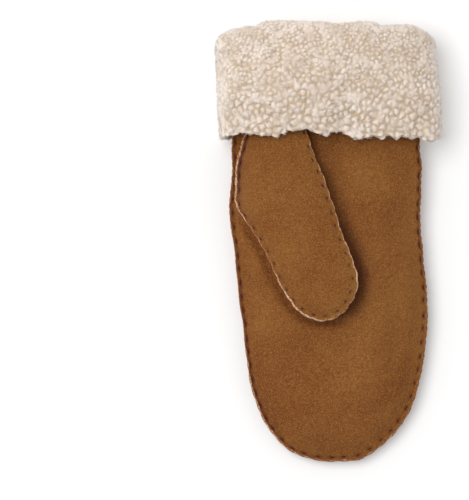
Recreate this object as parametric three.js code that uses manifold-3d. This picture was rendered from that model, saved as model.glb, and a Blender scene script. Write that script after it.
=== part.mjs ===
// A shearling mitten for the right hand, lying palm up on a flat surface, with its thumb folded over the palm.
// Its skins are suede outside and wool inside. The wool shows in the mouth and on the turned-back cuff.
//
// Frame, in millimetres: X runs across the hand, +Y towards the mouth and +Z up out of the palm.
// The origin lies on the surface that the mitten rests on, under the middle of the hand.

import * as THREE from "three";
import Module from "manifold-3d";
import { mergeVertices } from "three/addons/utils/BufferGeometryUtils.js";

const wasm = await Module();
wasm.setup();

// Sizes of the hand, flat on the table, with the cuff turned back.
const HAND_LENGTH = 270;
const HAND_WIDTH = 120;
const HAND_THICKNESS = 28;

// The skins, their seams and the wool on them.
const SKIN = 1.5;
const SEAM_ALLOWANCE = 3;
const HAND_ROUNDING = 34;
const INNER_PILE = 4.5;
const PILE_CLEARANCE = 1.3;
const GAP = 0.3;

// The thumb, measured from the cuff's free edge and from the hand's left side.
const THUMB_LENGTH = 112;
const THUMB_SPREAD = 78;
const THUMB_THICKNESS = 14;
const THUMB_ROUNDING = 15;
const THUMB_CLEARANCE = 0.6;

// The turned-back cuff and its wool.
const CUFF_DEPTH = 70;
const CUFF_PILE = 8;
const CUFF_CLEARANCE = 0.8;
const CUFF_FLARE = 10;
const MOUTH_ROLL = 8;
const INNER_TURN = 24;
const CURL_PITCH = 8;
const CURL_RELIEF = 1.5;

// Fineness of the meshes.
const HAND_ROWS = 24;
const HAND_COLUMNS = 14;
const PILE_ROWS = 18;
const PILE_COLUMNS = 10;
const THUMB_ROWS = 18;
const THUMB_COLUMNS = 10;
const CUFF_TURNS = 48;
const OUTLINE_STEPS = 96;
const SLOPE_STEP = 0.05;

// Forms that are pure numbers. The round ends of an oval section are an ellipse's at a power of 2, and flatter above.
const MOUTH_POWER = 2.3;
const CUFF_EDGE_POWER = 3.4;
const PUFF_POWER = 2.4;
const REST_SAG = 1.15;
const PILE_SHARE = 0.46;
const ROW_CROWDING = 1.7;
const COLUMN_CROWDING = 2.1;

// How the flare of the cuff's free edge is shared out: to its right side, its underside, its top and the thumb.
const FLARE_SHARES = { right: 0.25, under: 0.16, top: 0.25, thumb: 0.75 };

const MOUTH_Y = HAND_LENGTH / 2;
const TIP_Y = -HAND_LENGTH / 2;
const CUFF_EDGE_Y = MOUTH_Y - CUFF_DEPTH;
const FOLD_Y = MOUTH_Y - MOUTH_ROLL;
const INNER_TURN_Y = MOUTH_Y - INNER_TURN;
const LEFT_X = -HAND_WIDTH / 2;

// The hand's outline down its left side, round the tip and up its right side.
// across is a share of half the width, along a share of half the length.
const HAND_OUTLINE = [
  { across: -0.97, along: 1.0 },
  { across: -0.985, along: 0.476 },
  { across: -0.983, along: 0.26 },
  { across: -1.005, along: 0.165 },
  { across: -0.985, along: 0.07 },
  { across: -0.935, along: -0.12 },
  { across: -0.882, along: -0.34 },
  { across: -0.813, along: -0.56 },
  { across: -0.735, along: -0.72 },
  { across: -0.585, along: -0.854 },
  { across: -0.357, along: -0.955 },
  { across: -0.12, along: -0.994 },
  { across: 0.12, along: -1.0 },
  { across: 0.35, along: -0.978 },
  { across: 0.565, along: -0.912 },
  { across: 0.8, along: -0.79 },
  { across: 0.93, along: -0.64 },
  { across: 0.995, along: -0.47 },
  { across: 1.01, along: -0.32 },
  { across: 0.985, along: -0.1 },
  { across: 0.942, along: 0.07 },
  { across: 0.945, along: 0.26 },
  { across: 0.933, along: 0.476 },
  { across: 0.91, along: 1.0 },
];

// Heights of the skins' inner faces along the hand, as shares of its thickness.
// The wool of the cuff lifts the wrist off the surface.
const HAND_HEIGHTS = [
  { along: 1.0, under: 0.36, seam: 0.79, crown: 1.22 },
  { along: 0.8, under: 0.36, seam: 0.77, crown: 1.18 },
  { along: 0.476, under: 0.32, seam: 0.66, crown: 0.96 },
  { along: 0.26, under: 0.14, seam: 0.56, crown: 0.98 },
  { along: 0.07, under: 0, seam: 0.5, crown: 1.01 },
  { along: -0.1, under: 0, seam: 0.47, crown: 1.02 },
  { along: -0.34, under: 0, seam: 0.44, crown: 1.0 },
  { along: -0.64, under: 0, seam: 0.41, crown: 0.95 },
  { along: -0.85, under: 0, seam: 0.36, crown: 0.86 },
  { along: -1.0, under: 0, seam: 0.32, crown: 0.74 },
];

// Soft dents and ridges of the palm. across, along: the middle, as in HAND_OUTLINE; turn: the run's direction
// in degrees from X; reach: half its run, width: its breadth, rise: its height, all as shares of the thickness.
const PALM_FOLDS = [
  { across: 0.42, along: 0.37, turn: -4, reach: 1.3, width: 0.2, rise: -0.03 },
  { across: 0.5, along: 0.3, turn: 8, reach: 0.9, width: 0.22, rise: 0.03 },
  { across: 0.55, along: -0.62, turn: 55, reach: 1.5, width: 0.3, rise: -0.05 },
  { across: 0.1, along: -0.5, turn: 12, reach: 1.8, width: 0.6, rise: -0.04 },
  { across: -0.45, along: -0.45, turn: 100, reach: 1.6, width: 0.4, rise: 0.03 },
];

// The thumb's outline down its left side, round its tip and up its right side, as far as the cuff hides it.
// out is a share of the spread from the hand's left side, down a share of the length from the cuff's edge.
const THUMB_OUTLINE = [
  { out: 0.17, down: -0.19 },
  { out: 0.14, down: -0.08 },
  { out: 0.09, down: 0.035 },
  { out: 0.051, down: 0.134 },
  { out: 0.036, down: 0.276 },
  { out: 0.038, down: 0.365 },
  { out: 0.081, down: 0.422 },
  { out: 0.235, down: 0.577 },
  { out: 0.331, down: 0.716 },
  { out: 0.427, down: 0.85 },
  { out: 0.56, down: 0.957 },
  { out: 0.72, down: 1.0 },
  { out: 0.87, down: 0.963 },
  { out: 0.965, down: 0.88 },
  { out: 0.998, down: 0.77 },
  { out: 0.955, down: 0.666 },
  { out: 0.877, down: 0.5235 },
  { out: 0.8125, down: 0.3825 },
  { out: 0.7286, down: 0.219 },
  { out: 0.651, down: 0.077 },
  { out: 0.58, down: -0.08 },
  { out: 0.54, down: -0.19 },
];

// The thumb's height over the palm, as a share of its thickness, against the share of its length.
const THUMB_HEIGHTS = [
  { down: -0.19, height: 0.12 },
  { down: 0, height: 0.4 },
  { down: 0.3, height: 0.95 },
  { down: 0.6, height: 1.0 },
  { down: 1.0, height: 0.92 },
];

// The hole in the palm under the thumb. Its side from the web to the wrist is where the thumb's back skin starts.
const THUMB_HOLE = {
  web: { out: 0.085, down: 0.36 },
  leftLow: { out: 0.1, down: 0.25 },
  leftHigh: { out: 0.15, down: 0.06 },
  wristLeft: { out: 0.21, down: -0.12 },
  wristRight: { out: 0.5, down: -0.12 },
};

// Straight interpolation in a table whose rows fall or rise in one column.
function readTable(table, key, at, value) {
  const sign = table[0][key] < table[table.length - 1][key] ? 1 : -1;
  let i = 0;
  while (i < table.length - 2 && sign * at > sign * table[i + 1][key]) i += 1;
  const low = table[i];
  const high = table[i + 1];
  const share = THREE.MathUtils.clamp((at - low[key]) / (high[key] - low[key]), 0, 1);
  return THREE.MathUtils.lerp(low[value], high[value], share * share * (3 - 2 * share));
}

// A smooth run of points through an outline's rows.
function smoothLine(points) {
  const curve = new THREE.CatmullRomCurve3(points, false, "centripetal");
  return curve.getPoints(OUTLINE_STEPS);
}

const handLine = smoothLine(
  HAND_OUTLINE.map((row) => new THREE.Vector3((row.across * HAND_WIDTH) / 2, (row.along * HAND_LENGTH) / 2, 0)),
);

function thumbPoint(row) {
  return new THREE.Vector3(LEFT_X + row.out * THUMB_SPREAD, CUFF_EDGE_Y - row.down * THUMB_LENGTH, 0);
}

const thumbLine = smoothLine(THUMB_OUTLINE.map(thumbPoint));

// The index of the lowest point of a line, where its left side ends and its right side starts.
function tipIndex(line) {
  return line.reduce((best, point, i) => (point.y < line[best].y ? i : best), 0);
}

// Where a side of a line crosses a height y.
function crossing(side, y) {
  for (let i = 0; i < side.length - 1; i += 1) {
    const [a, b] = [side[i], side[i + 1]];
    if ((a.y - y) * (b.y - y) <= 0 && a.y !== b.y) {
      return THREE.MathUtils.lerp(a.x, b.x, (y - a.y) / (b.y - a.y));
    }
  }
  const end = y > side[0].y ? side[0] : side[side.length - 1];
  return end.x;
}

// The left and right sides of a line as functions of y.
function sidesOf(line) {
  const tip = tipIndex(line);
  const left = line.slice(0, tip + 1);
  const right = line.slice(tip).reverse();
  return { left: (y) => crossing(left, y), right: (y) => crossing(right, y), tip: line[tip] };
}

const hand = sidesOf(handLine);
const thumb = sidesOf(thumbLine);

// The distance from a point to a run of straight pieces.
function distanceTo(line, x, y) {
  let best = Infinity;
  for (let i = 0; i < line.length - 1; i += 1) {
    const [a, b] = [line[i], line[i + 1]];
    const [dx, dy] = [b.x - a.x, b.y - a.y];
    const length2 = dx * dx + dy * dy || 1;
    const t = THREE.MathUtils.clamp(((x - a.x) * dx + (y - a.y) * dy) / length2, 0, 1);
    best = Math.min(best, Math.hypot(x - a.x - t * dx, y - a.y - t * dy));
  }
  return best;
}

// How far a skin has puffed up, from 0 in the seam to 1 beyond its rounding.
function puff(distance, rounding) {
  const t = THREE.MathUtils.clamp((distance - SEAM_ALLOWANCE) / rounding, 0, 1);
  return 1 - (1 - t) ** PUFF_POWER;
}

function handHeight(y, value) {
  return readTable(HAND_HEIGHTS, "along", (2 * y) / HAND_LENGTH, value) * HAND_THICKNESS;
}

// How round the hand's section is: 0 below the cuff, where its seam stands out, and 1 at the mouth.
function roundShare(y) {
  const margin = 0.1 * CUFF_DEPTH;
  return THREE.MathUtils.smoothstep(y, CUFF_EDGE_Y + margin, INNER_TURN_Y - margin);
}

// The height of an oval section over its middle, as a share of its half height.
function oval(share) {
  return (1 - Math.min(Math.abs(share), 1) ** MOUTH_POWER) ** (1 / MOUTH_POWER);
}

// The sides of the skins' inner faces, which stand in by a skin's thickness where the section is round.
const skinLeft = (y) => hand.left(y) + SKIN * roundShare(y);
const skinRight = (y) => hand.right(y) - SKIN * roundShare(y);

function puffOfHand(x, y) {
  const middle = (skinLeft(y) + skinRight(y)) / 2;
  const half = (skinRight(y) - skinLeft(y)) / 2;
  const flat = puff(distanceTo(handLine, x, y), HAND_ROUNDING);
  return THREE.MathUtils.lerp(flat, oval((x - middle) / half), roundShare(y));
}

function foldsAt(x, y) {
  return PALM_FOLDS.reduce((sum, fold) => {
    const turn = THREE.MathUtils.degToRad(fold.turn);
    const dx = x - (fold.across * HAND_WIDTH) / 2;
    const dy = y - (fold.along * HAND_LENGTH) / 2;
    const run = (dx * Math.cos(turn) + dy * Math.sin(turn)) / (fold.reach * HAND_THICKNESS);
    const off = (dy * Math.cos(turn) - dx * Math.sin(turn)) / (fold.width * HAND_THICKNESS);
    return sum + fold.rise * HAND_THICKNESS * Math.exp(-run * run - off * off);
  }, 0);
}

// Heights of the inner faces of the palm and back skins.
function palmInner(x, y) {
  const rise = handHeight(y, "crown") - handHeight(y, "seam");
  const share = puffOfHand(x, y);
  return handHeight(y, "seam") + GAP / 2 + share * (rise + foldsAt(x, y));
}

function backInner(x, y) {
  const seam = handHeight(y, "seam");
  const under = Math.max(handHeight(y, "under"), SKIN);
  const sag = THREE.MathUtils.lerp(REST_SAG, 1, roundShare(y));
  return Math.max(under, seam - GAP / 2 - sag * (seam - under) * puffOfHand(x, y));
}

// The upward normal of a height function at a point.
function normalOf(height, x, y) {
  const slopeX = (height(x + SLOPE_STEP, y) - height(x - SLOPE_STEP, y)) / (2 * SLOPE_STEP);
  const slopeY = (height(x, y + SLOPE_STEP) - height(x, y - SLOPE_STEP)) / (2 * SLOPE_STEP);
  return new THREE.Vector3(-slopeX, -slopeY, 1).normalize();
}

// The height of the palm skin's outer face.
function palmOuter(x, y) {
  return palmInner(x, y) + SKIN / normalOf(palmInner, x, y).z;
}

const web = thumbPoint(THUMB_HOLE.web);
const wristRight = thumbPoint(THUMB_HOLE.wristRight);
const hingeRun = wristRight.clone().sub(web).normalize();

// How far a point lies past the line where the thumb leaves the palm.
function pastHinge(x, y) {
  return (y - web.y) * -hingeRun.x + (x - web.x) * hingeRun.y;
}

// How free of the palm the thumb is, from 0 where it is sewn down to 1.
function freeShare(x, y) {
  return THREE.MathUtils.smoothstep(pastHinge(x, y), 0, THUMB_THICKNESS);
}

const thumbLoop = [...thumbLine, thumbLine[0]];

function puffOfThumb(x, y) {
  return puff(distanceTo(thumbLoop, x, y), THUMB_ROUNDING);
}

function thumbHeight(y) {
  return readTable(THUMB_HEIGHTS, "down", (CUFF_EDGE_Y - y) / THUMB_LENGTH, "height") * THUMB_THICKNESS;
}

// The height of the thumb's seam: on the palm where it is sewn down, and half way up the thumb where it is free.
function thumbSeam(x, y) {
  const rest = palmOuter(x, y) + THUMB_CLEARANCE + SKIN;
  return rest + (freeShare(x, y) * thumbHeight(y)) / 2;
}

// Heights of the inner faces of the thumb's front and back skins.
function thumbFrontInner(x, y) {
  const rise = thumbHeight(y) * (1 - freeShare(x, y) / 2);
  return thumbSeam(x, y) + GAP / 2 + rise * puffOfThumb(x, y);
}

function thumbBackInner(x, y) {
  const drop = (thumbHeight(y) * freeShare(x, y)) / 2;
  return thumbSeam(x, y) - GAP / 2 - drop * puffOfThumb(x, y);
}

// The mesh of a solid between two grids of points with the same rows and columns, the second one above the first.
function betweenGrids(low, high) {
  const rows = low.length;
  const columns = low[0].length;
  const positions = [...low.flat(), ...high.flat()].flatMap((p) => p.toArray());
  const at = (level, i, j) => level * rows * columns + i * columns + j;
  const faces = [];
  const quad = (a, b, c, d) => faces.push(a, b, c, a, c, d);
  for (let i = 0; i < rows - 1; i += 1) {
    for (let j = 0; j < columns - 1; j += 1) {
      quad(at(0, i, j), at(0, i, j + 1), at(0, i + 1, j + 1), at(0, i + 1, j));
      quad(at(1, i, j), at(1, i + 1, j), at(1, i + 1, j + 1), at(1, i, j + 1));
    }
    quad(at(0, i, 0), at(0, i + 1, 0), at(1, i + 1, 0), at(1, i, 0));
    quad(at(0, i, columns - 1), at(1, i, columns - 1), at(1, i + 1, columns - 1), at(0, i + 1, columns - 1));
  }
  for (let j = 0; j < columns - 1; j += 1) {
    quad(at(0, 0, j), at(1, 0, j), at(1, 0, j + 1), at(0, 0, j + 1));
    quad(at(0, rows - 1, j), at(0, rows - 1, j + 1), at(1, rows - 1, j + 1), at(1, rows - 1, j));
  }
  const geometry = new THREE.BufferGeometry();
  geometry.setAttribute("position", new THREE.Float32BufferAttribute(positions, 3));
  geometry.setIndex(faces);
  return geometry;
}

// Rows of points from the mouth's end to the tip, close together at the tip, and close at both ends of each row.
function spread({ top, tip, rows, columns, left, right }) {
  const grid = [];
  for (let i = 0; i <= rows; i += 1) {
    const share = i / rows;
    const y = THREE.MathUtils.lerp(top, tip, 1 - (1 - share) ** ROW_CROWDING);
    const [from, to] = [left(y), right(y)];
    const line = [];
    for (let j = 0; j <= columns; j += 1) {
      const turn = ((j / columns - 0.5) * Math.PI * 2) / COLUMN_CROWDING;
      const across = 0.5 + Math.sin(turn) / (2 * Math.sin(Math.PI / COLUMN_CROWDING));
      line.push(new THREE.Vector2(THREE.MathUtils.lerp(from, to, across), y));
    }
    grid.push(line);
  }
  return grid;
}

// A grid lifted to a height function and moved along its normals by an amount, which may be a function too.
function lifted(grid, height, amount) {
  return grid.map((line) =>
    line.map(({ x, y }) => {
      const move = typeof amount === "function" ? amount(x, y) : amount;
      return new THREE.Vector3(x, y, height(x, y)).addScaledVector(normalOf(height, x, y), move);
    }),
  );
}

function manifoldOf(geometry) {
  const bare = mergeVertices(geometry.index ? geometry.toNonIndexed() : geometry, 1e-4);
  return new wasm.Manifold(
    new wasm.Mesh({
      numProp: 3,
      vertProperties: bare.attributes.position.array,
      triVerts: new Uint32Array(bare.index.array),
    }),
  );
}

function geometryOf(solid) {
  const { vertProperties, triVerts } = solid.getMesh();
  const geometry = new THREE.BufferGeometry();
  geometry.setAttribute("position", new THREE.BufferAttribute(new Float32Array(vertProperties), 3));
  geometry.setIndex(new THREE.BufferAttribute(new Uint32Array(triVerts), 1));
  return geometry;
}

// An upright prism over a run of points, tall enough to cut right through the mitten.
function prism(points) {
  const shape = new THREE.Shape(points.map((p) => new THREE.Vector2(p.x, p.y)));
  const tall = 4 * HAND_THICKNESS;
  const geometry = new THREE.ExtrudeGeometry(shape, { depth: tall, bevelEnabled: false });
  geometry.translate(0, 0, -HAND_THICKNESS);
  geometry.deleteAttribute("normal");
  geometry.deleteAttribute("uv");
  return manifoldOf(geometry);
}

const thumbHole = prism(
  [THUMB_HOLE.web, THUMB_HOLE.wristRight, THUMB_HOLE.wristLeft, THUMB_HOLE.leftHigh, THUMB_HOLE.leftLow].map(
    thumbPoint,
  ),
);

// Everything on the wrist's side of the line where the thumb leaves the palm.
function wristSide() {
  const far = HAND_LENGTH;
  const start = web.clone().addScaledVector(hingeRun, -far);
  const end = web.clone().addScaledVector(hingeRun, far);
  const back = new THREE.Vector3(-hingeRun.y, hingeRun.x, 0).multiplyScalar(far);
  return prism([start, end, end.clone().add(back), start.clone().add(back)]);
}

const suede = new THREE.MeshStandardMaterial({ color: 0x8a5628, roughness: 0.95, metalness: 0 });
const thumbSuede = new THREE.MeshStandardMaterial({ color: 0x925c2c, roughness: 0.95, metalness: 0 });
const wool = new THREE.MeshStandardMaterial({ color: 0xdccbb8, roughness: 1, metalness: 0 });
const fleshSide = new THREE.MeshStandardMaterial({ color: 0xb98a5c, roughness: 1, metalness: 0 });

function named(name, geometry, material) {
  geometry.computeVertexNormals();
  const mesh = new THREE.Mesh(geometry, material);
  mesh.name = name;
  return mesh;
}

// The row just above a tip, where a skin still has some width.
function lastRow(tip) {
  return tip + GAP;
}

function handGrid() {
  return spread({
    top: FOLD_Y - SKIN - GAP,
    tip: lastRow(TIP_Y),
    rows: HAND_ROWS,
    columns: HAND_COLUMNS,
    left: skinLeft,
    right: skinRight,
  });
}

function backPanel() {
  const grid = handGrid();
  return named("back_panel", betweenGrids(lifted(grid, backInner, -SKIN), lifted(grid, backInner, 0)), suede);
}

function palmPanel() {
  const grid = handGrid();
  const whole = manifoldOf(betweenGrids(lifted(grid, palmInner, 0), lifted(grid, palmInner, SKIN)));
  return named("palm_panel", geometryOf(whole.subtract(thumbHole)), suede);
}

// A side of the hand moved inwards by an amount.
function insetSide(side, sign, inset) {
  return (y) => {
    const edge = side(y);
    let move = 0;
    while (distanceTo(handLine, edge + sign * move, y) < inset && move < HAND_WIDTH) move += 0.25;
    return edge + sign * move;
  };
}

// The thickness of the wool inside, which thins out towards the seams.
function pileAt(x, y) {
  const room = palmInner(x, y) - backInner(x, y);
  return THREE.MathUtils.clamp(PILE_SHARE * room - PILE_CLEARANCE - GAP, GAP, INNER_PILE);
}

function pileGrid() {
  const inset = SEAM_ALLOWANCE + 2 * SKIN;
  return spread({
    top: INNER_TURN_Y - GAP,
    tip: TIP_Y + inset + SKIN,
    rows: PILE_ROWS,
    columns: PILE_COLUMNS,
    left: insetSide(hand.left, 1, inset),
    right: insetSide(hand.right, -1, inset),
  });
}

function backFleece() {
  const grid = pileGrid();
  const low = lifted(grid, backInner, PILE_CLEARANCE);
  const high = lifted(grid, backInner, (x, y) => PILE_CLEARANCE + pileAt(x, y));
  return named("back_fleece", betweenGrids(low, high), wool);
}

function palmFleece() {
  const grid = pileGrid();
  const low = lifted(grid, palmInner, (x, y) => -PILE_CLEARANCE - pileAt(x, y));
  const high = lifted(grid, palmInner, -PILE_CLEARANCE);
  const whole = manifoldOf(betweenGrids(low, high));
  return named("palm_fleece", geometryOf(whole.subtract(thumbHole)), wool);
}

function thumbGrid() {
  return spread({
    top: thumbLine[0].y - GAP,
    tip: lastRow(thumb.tip.y),
    rows: THUMB_ROWS,
    columns: THUMB_COLUMNS,
    left: thumb.left,
    right: thumb.right,
  });
}

function thumbFront() {
  const grid = thumbGrid();
  const solid = betweenGrids(lifted(grid, thumbFrontInner, 0), lifted(grid, thumbFrontInner, SKIN));
  return named("thumb_front", solid, thumbSuede);
}

function thumbBack() {
  const grid = thumbGrid();
  const whole = manifoldOf(betweenGrids(lifted(grid, thumbBackInner, -SKIN), lifted(grid, thumbBackInner, 0)));
  return named("thumb_back", geometryOf(whole.subtract(wristSide())), suede);
}

// Where the thumb's right side comes out from under the cuff.
const thumbRootX = thumb.right(CUFF_EDGE_Y);

// The oval that the cuff is wrapped on: the wrist's outer face, flaring towards the cuff's free edge, and lifted
// there by the thumb's root. What lies inside the wrist follows it with no flare.
function cuffOval(y, inside) {
  const flare = inside ? 0 : THREE.MathUtils.smoothstep(FOLD_Y - y, 0, 0.6 * CUFF_DEPTH);
  const at = Math.max(y, CUFF_EDGE_Y);
  const left = hand.left(at) - GAP;
  const right = hand.right(at) + GAP + flare * FLARE_SHARES.right * CUFF_FLARE;
  const under = handHeight(at, "under") - SKIN - flare * FLARE_SHARES.under * CUFF_FLARE;
  const top = handHeight(at, "crown") + SKIN + flare * FLARE_SHARES.top * CUFF_FLARE;
  return {
    middleX: (left + right) / 2,
    middleZ: (under + top) / 2,
    halfX: (right - left) / 2,
    halfZ: (top - under) / 2,
    power: THREE.MathUtils.lerp(MOUTH_POWER, CUFF_EDGE_POWER, flare),
    lift: flare * FLARE_SHARES.thumb * CUFF_FLARE,
  };
}

// A point on the cuff, at a turn round it, a place along it and a distance out of the oval.
function cuffPoint(turn, y, out) {
  const { middleX, middleZ, halfX, halfZ, power, lift } = cuffOval(y, out < 0);
  const [cosine, sine] = [Math.cos(turn), Math.sin(turn)];
  const reach = (Math.abs(cosine) ** power + Math.abs(sine) ** power) ** (-1 / power);
  const x = middleX + (halfX + out) * reach * cosine;
  const overThumb = 1 - THREE.MathUtils.smoothstep(x, thumbRootX, thumbRootX + THUMB_SPREAD / 2);
  const rise = halfZ + out + lift * (sine > 0 ? overThumb : 0);
  return new THREE.Vector3(x, y, Math.max(middleZ + rise * reach * sine, 0));
}

// Turns that space points evenly along the oval half way down the cuff.
function evenTurns(count) {
  const steps = 16 * count;
  const middle = (CUFF_EDGE_Y + FOLD_Y) / 2;
  const lengths = [0];
  for (let i = 1; i <= steps; i += 1) {
    const [from, to] = [i - 1, i].map((step) => cuffPoint((step / steps) * 2 * Math.PI, middle, 0));
    lengths.push(lengths[i - 1] + to.distanceTo(from));
  }
  const turns = [];
  for (let i = 0; i < count; i += 1) {
    const at = (i / count) * lengths[steps];
    turns.push((lengths.findIndex((length) => length >= at) / steps) * 2 * Math.PI);
  }
  return turns;
}

// A ring whose closed profile, a function of the turn that gives points { out, y }, runs round the cuff.
// Each face is split so that the raised points of a lumpy profile stand alone.
function cuffRing(count, profile) {
  const loops = evenTurns(count).map((turn, i) => profile(turn, i).map(({ out, y }) => cuffPoint(turn, y, out)));
  const size = loops[0].length;
  const positions = loops.flat().flatMap((p) => p.toArray());
  const faces = [];
  for (let i = 0; i < count; i += 1) {
    for (let j = 0; j < size; j += 1) {
      const [a, b] = [i * size + j, i * size + ((j + 1) % size)];
      const [c, d] = [((i + 1) % count) * size + ((j + 1) % size), ((i + 1) % count) * size + j];
      faces.push(...((i + j) % 2 ? [a, d, b, b, d, c] : [a, c, b, a, d, c]));
    }
  }
  const geometry = new THREE.BufferGeometry();
  geometry.setAttribute("position", new THREE.Float32BufferAttribute(positions, 3));
  geometry.setIndex(faces);
  return geometry;
}

// The cuff's skin: the turned-back ring, with its fold over the ends of the palm and back skins.
function cuffSkin() {
  const [inner, outer] = [CUFF_CLEARANCE, CUFF_CLEARANCE + SKIN];
  const places = [0, 0.25, 0.5, 0.75].map((share) => THREE.MathUtils.lerp(CUFF_EDGE_Y, FOLD_Y - SKIN, share));
  const profile = () => [
    ...places.map((y) => ({ out: inner, y })),
    { out: inner, y: FOLD_Y - SKIN },
    { out: -SKIN, y: FOLD_Y - SKIN },
    { out: -SKIN, y: FOLD_Y },
    { out: outer, y: FOLD_Y },
    ...places.map((y) => ({ out: outer, y })).reverse(),
  ];
  return named("cuff_skin", cuffRing(CUFF_TURNS, profile), fleshSide);
}

// The cuff's wool, from its free edge over the mouth and some way in, with its outer form in curled lumps.
function cuffFleece() {
  const girth = 2 * (HAND_WIDTH + HAND_THICKNESS) + Math.PI * CUFF_PILE;
  const turns = 2 * Math.round(girth / CURL_PITCH);
  const rows = Math.round((1.4 * (CUFF_DEPTH - CUFF_PILE)) / CURL_PITCH);
  const outside = CUFF_CLEARANCE + SKIN + 2 * GAP;
  const inside = -SKIN - GAP - PILE_CLEARANCE;
  const profile = (turn, i) => {
    const lump = (j) => ((i + j) % 2 ? 0 : -CURL_RELIEF);
    const side = Math.cos(turn);
    const pile = (share) => CUFF_PILE * (1 + 0.5 * Math.min(side, 0) * share);
    const line = [
      { out: outside, y: FOLD_Y + GAP },
      { out: inside, y: FOLD_Y + GAP },
      { out: inside, y: INNER_TURN_Y },
      { out: inside - INNER_PILE, y: INNER_TURN_Y },
      { out: inside - INNER_PILE + lump(0) / 2, y: (INNER_TURN_Y + FOLD_Y) / 2 },
      { out: inside - INNER_PILE + lump(1) / 2, y: FOLD_Y },
      { out: -0.7 * INNER_PILE, y: MOUTH_Y - 0.3 * MOUTH_ROLL + lump(0) },
      { out: 0.2 * CUFF_PILE, y: MOUTH_Y + lump(1) / 2 },
      { out: 0.75 * CUFF_PILE, y: MOUTH_Y - 0.3 * MOUTH_ROLL + lump(0) },
    ];
    for (let j = 0; j <= rows; j += 1) {
      const share = j / rows;
      const y = THREE.MathUtils.lerp(FOLD_Y + 0.2 * MOUTH_ROLL, CUFF_EDGE_Y, share);
      line.push({ out: outside + pile(share) + lump(j + 1), y });
    }
    line.push({ out: outside + 0.5 * pile(1), y: CUFF_EDGE_Y - 0.3 * CUFF_PILE + lump(rows) / 2 });
    for (const share of [0, 0.25, 0.5, 0.75]) {
      line.push({ out: outside, y: THREE.MathUtils.lerp(CUFF_EDGE_Y, FOLD_Y - SKIN, share) });
    }
    return line;
  };
  return named("cuff_fleece", cuffRing(turns, profile), wool);
}

const mitten = new THREE.Group();
mitten.name = "mitten";
mitten.add(backPanel(), palmPanel(), thumbBack(), thumbFront());
mitten.add(backFleece(), palmFleece(), cuffSkin(), cuffFleece());

export default mitten;
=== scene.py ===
"""The looks of a shearling mitten for the right hand, which lies palm up with its thumb over the palm.

The mitten is suede outside and curly wool inside. Its forms follow the frame's own sizes. Lengths in the
classes are millimetres, and MM turns them into Blender's metres when a mesh is made.
"""
import logging
import math
from dataclasses import dataclass, field
from enum import Enum
from typing import Callable, NamedTuple

import bpy
import numpy as np
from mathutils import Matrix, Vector, noise
from mathutils.kdtree import KDTree


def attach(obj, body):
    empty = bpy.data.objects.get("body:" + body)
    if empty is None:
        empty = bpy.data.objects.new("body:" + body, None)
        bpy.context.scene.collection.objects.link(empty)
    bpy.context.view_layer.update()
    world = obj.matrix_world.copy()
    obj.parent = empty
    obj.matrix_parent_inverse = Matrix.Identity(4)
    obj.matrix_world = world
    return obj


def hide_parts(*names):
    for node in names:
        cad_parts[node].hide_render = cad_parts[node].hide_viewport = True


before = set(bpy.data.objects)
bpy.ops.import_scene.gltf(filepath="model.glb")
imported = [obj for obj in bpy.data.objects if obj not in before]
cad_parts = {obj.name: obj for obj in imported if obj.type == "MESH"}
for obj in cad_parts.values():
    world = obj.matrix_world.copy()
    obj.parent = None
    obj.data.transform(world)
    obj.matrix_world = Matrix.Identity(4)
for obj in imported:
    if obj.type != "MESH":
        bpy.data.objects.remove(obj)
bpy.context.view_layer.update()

Array = np.ndarray
log = logging.getLogger("mitten")

MM = 0.001
ROOT = "root"

HAND_LENGTH = 270.0
HAND_WIDTH = 120.0
HAND_THICKNESS = 28.0
SKIN = 1.5
GAP = 0.3
# The least upward part of a skin's normal, so that its wall stays thin where it turns upright at the mouth.
STEEPEST = 0.5
INNER_PILE = 4.5
PILE_CLEARANCE = 1.3
CUFF_DEPTH = 70.0
MOUTH_ROLL = 8.0
INNER_TURN = 24.0
MOUTH_Y = HAND_LENGTH / 2
TIP_Y = -HAND_LENGTH / 2
CUFF_EDGE_Y = MOUTH_Y - CUFF_DEPTH
FOLD_Y = MOUTH_Y - MOUTH_ROLL
INNER_TURN_Y = MOUTH_Y - INNER_TURN


class Edge(NamedTuple):
    """A point of the hand's outline, as shares of half its width and half its length."""

    across: float
    along: float


class Height(NamedTuple):
    """Heights of the skins' inner faces at a place along the hand, as shares of its thickness."""

    along: float
    under: float
    seam: float
    crown: float


class Fold(NamedTuple):
    """A soft dent or ridge: its middle as in Edge, its turn in degrees, and its sizes over the thickness."""

    across: float
    along: float
    turn: float
    reach: float
    width: float
    rise: float


class ThumbEdge(NamedTuple):
    """A point of the thumb's outline, as shares of its spread and of its length."""

    out: float
    down: float


class ThumbHeight(NamedTuple):
    """The thumb's height over the palm, as a share of its thickness, against the share of its length."""

    down: float
    height: float


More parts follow.
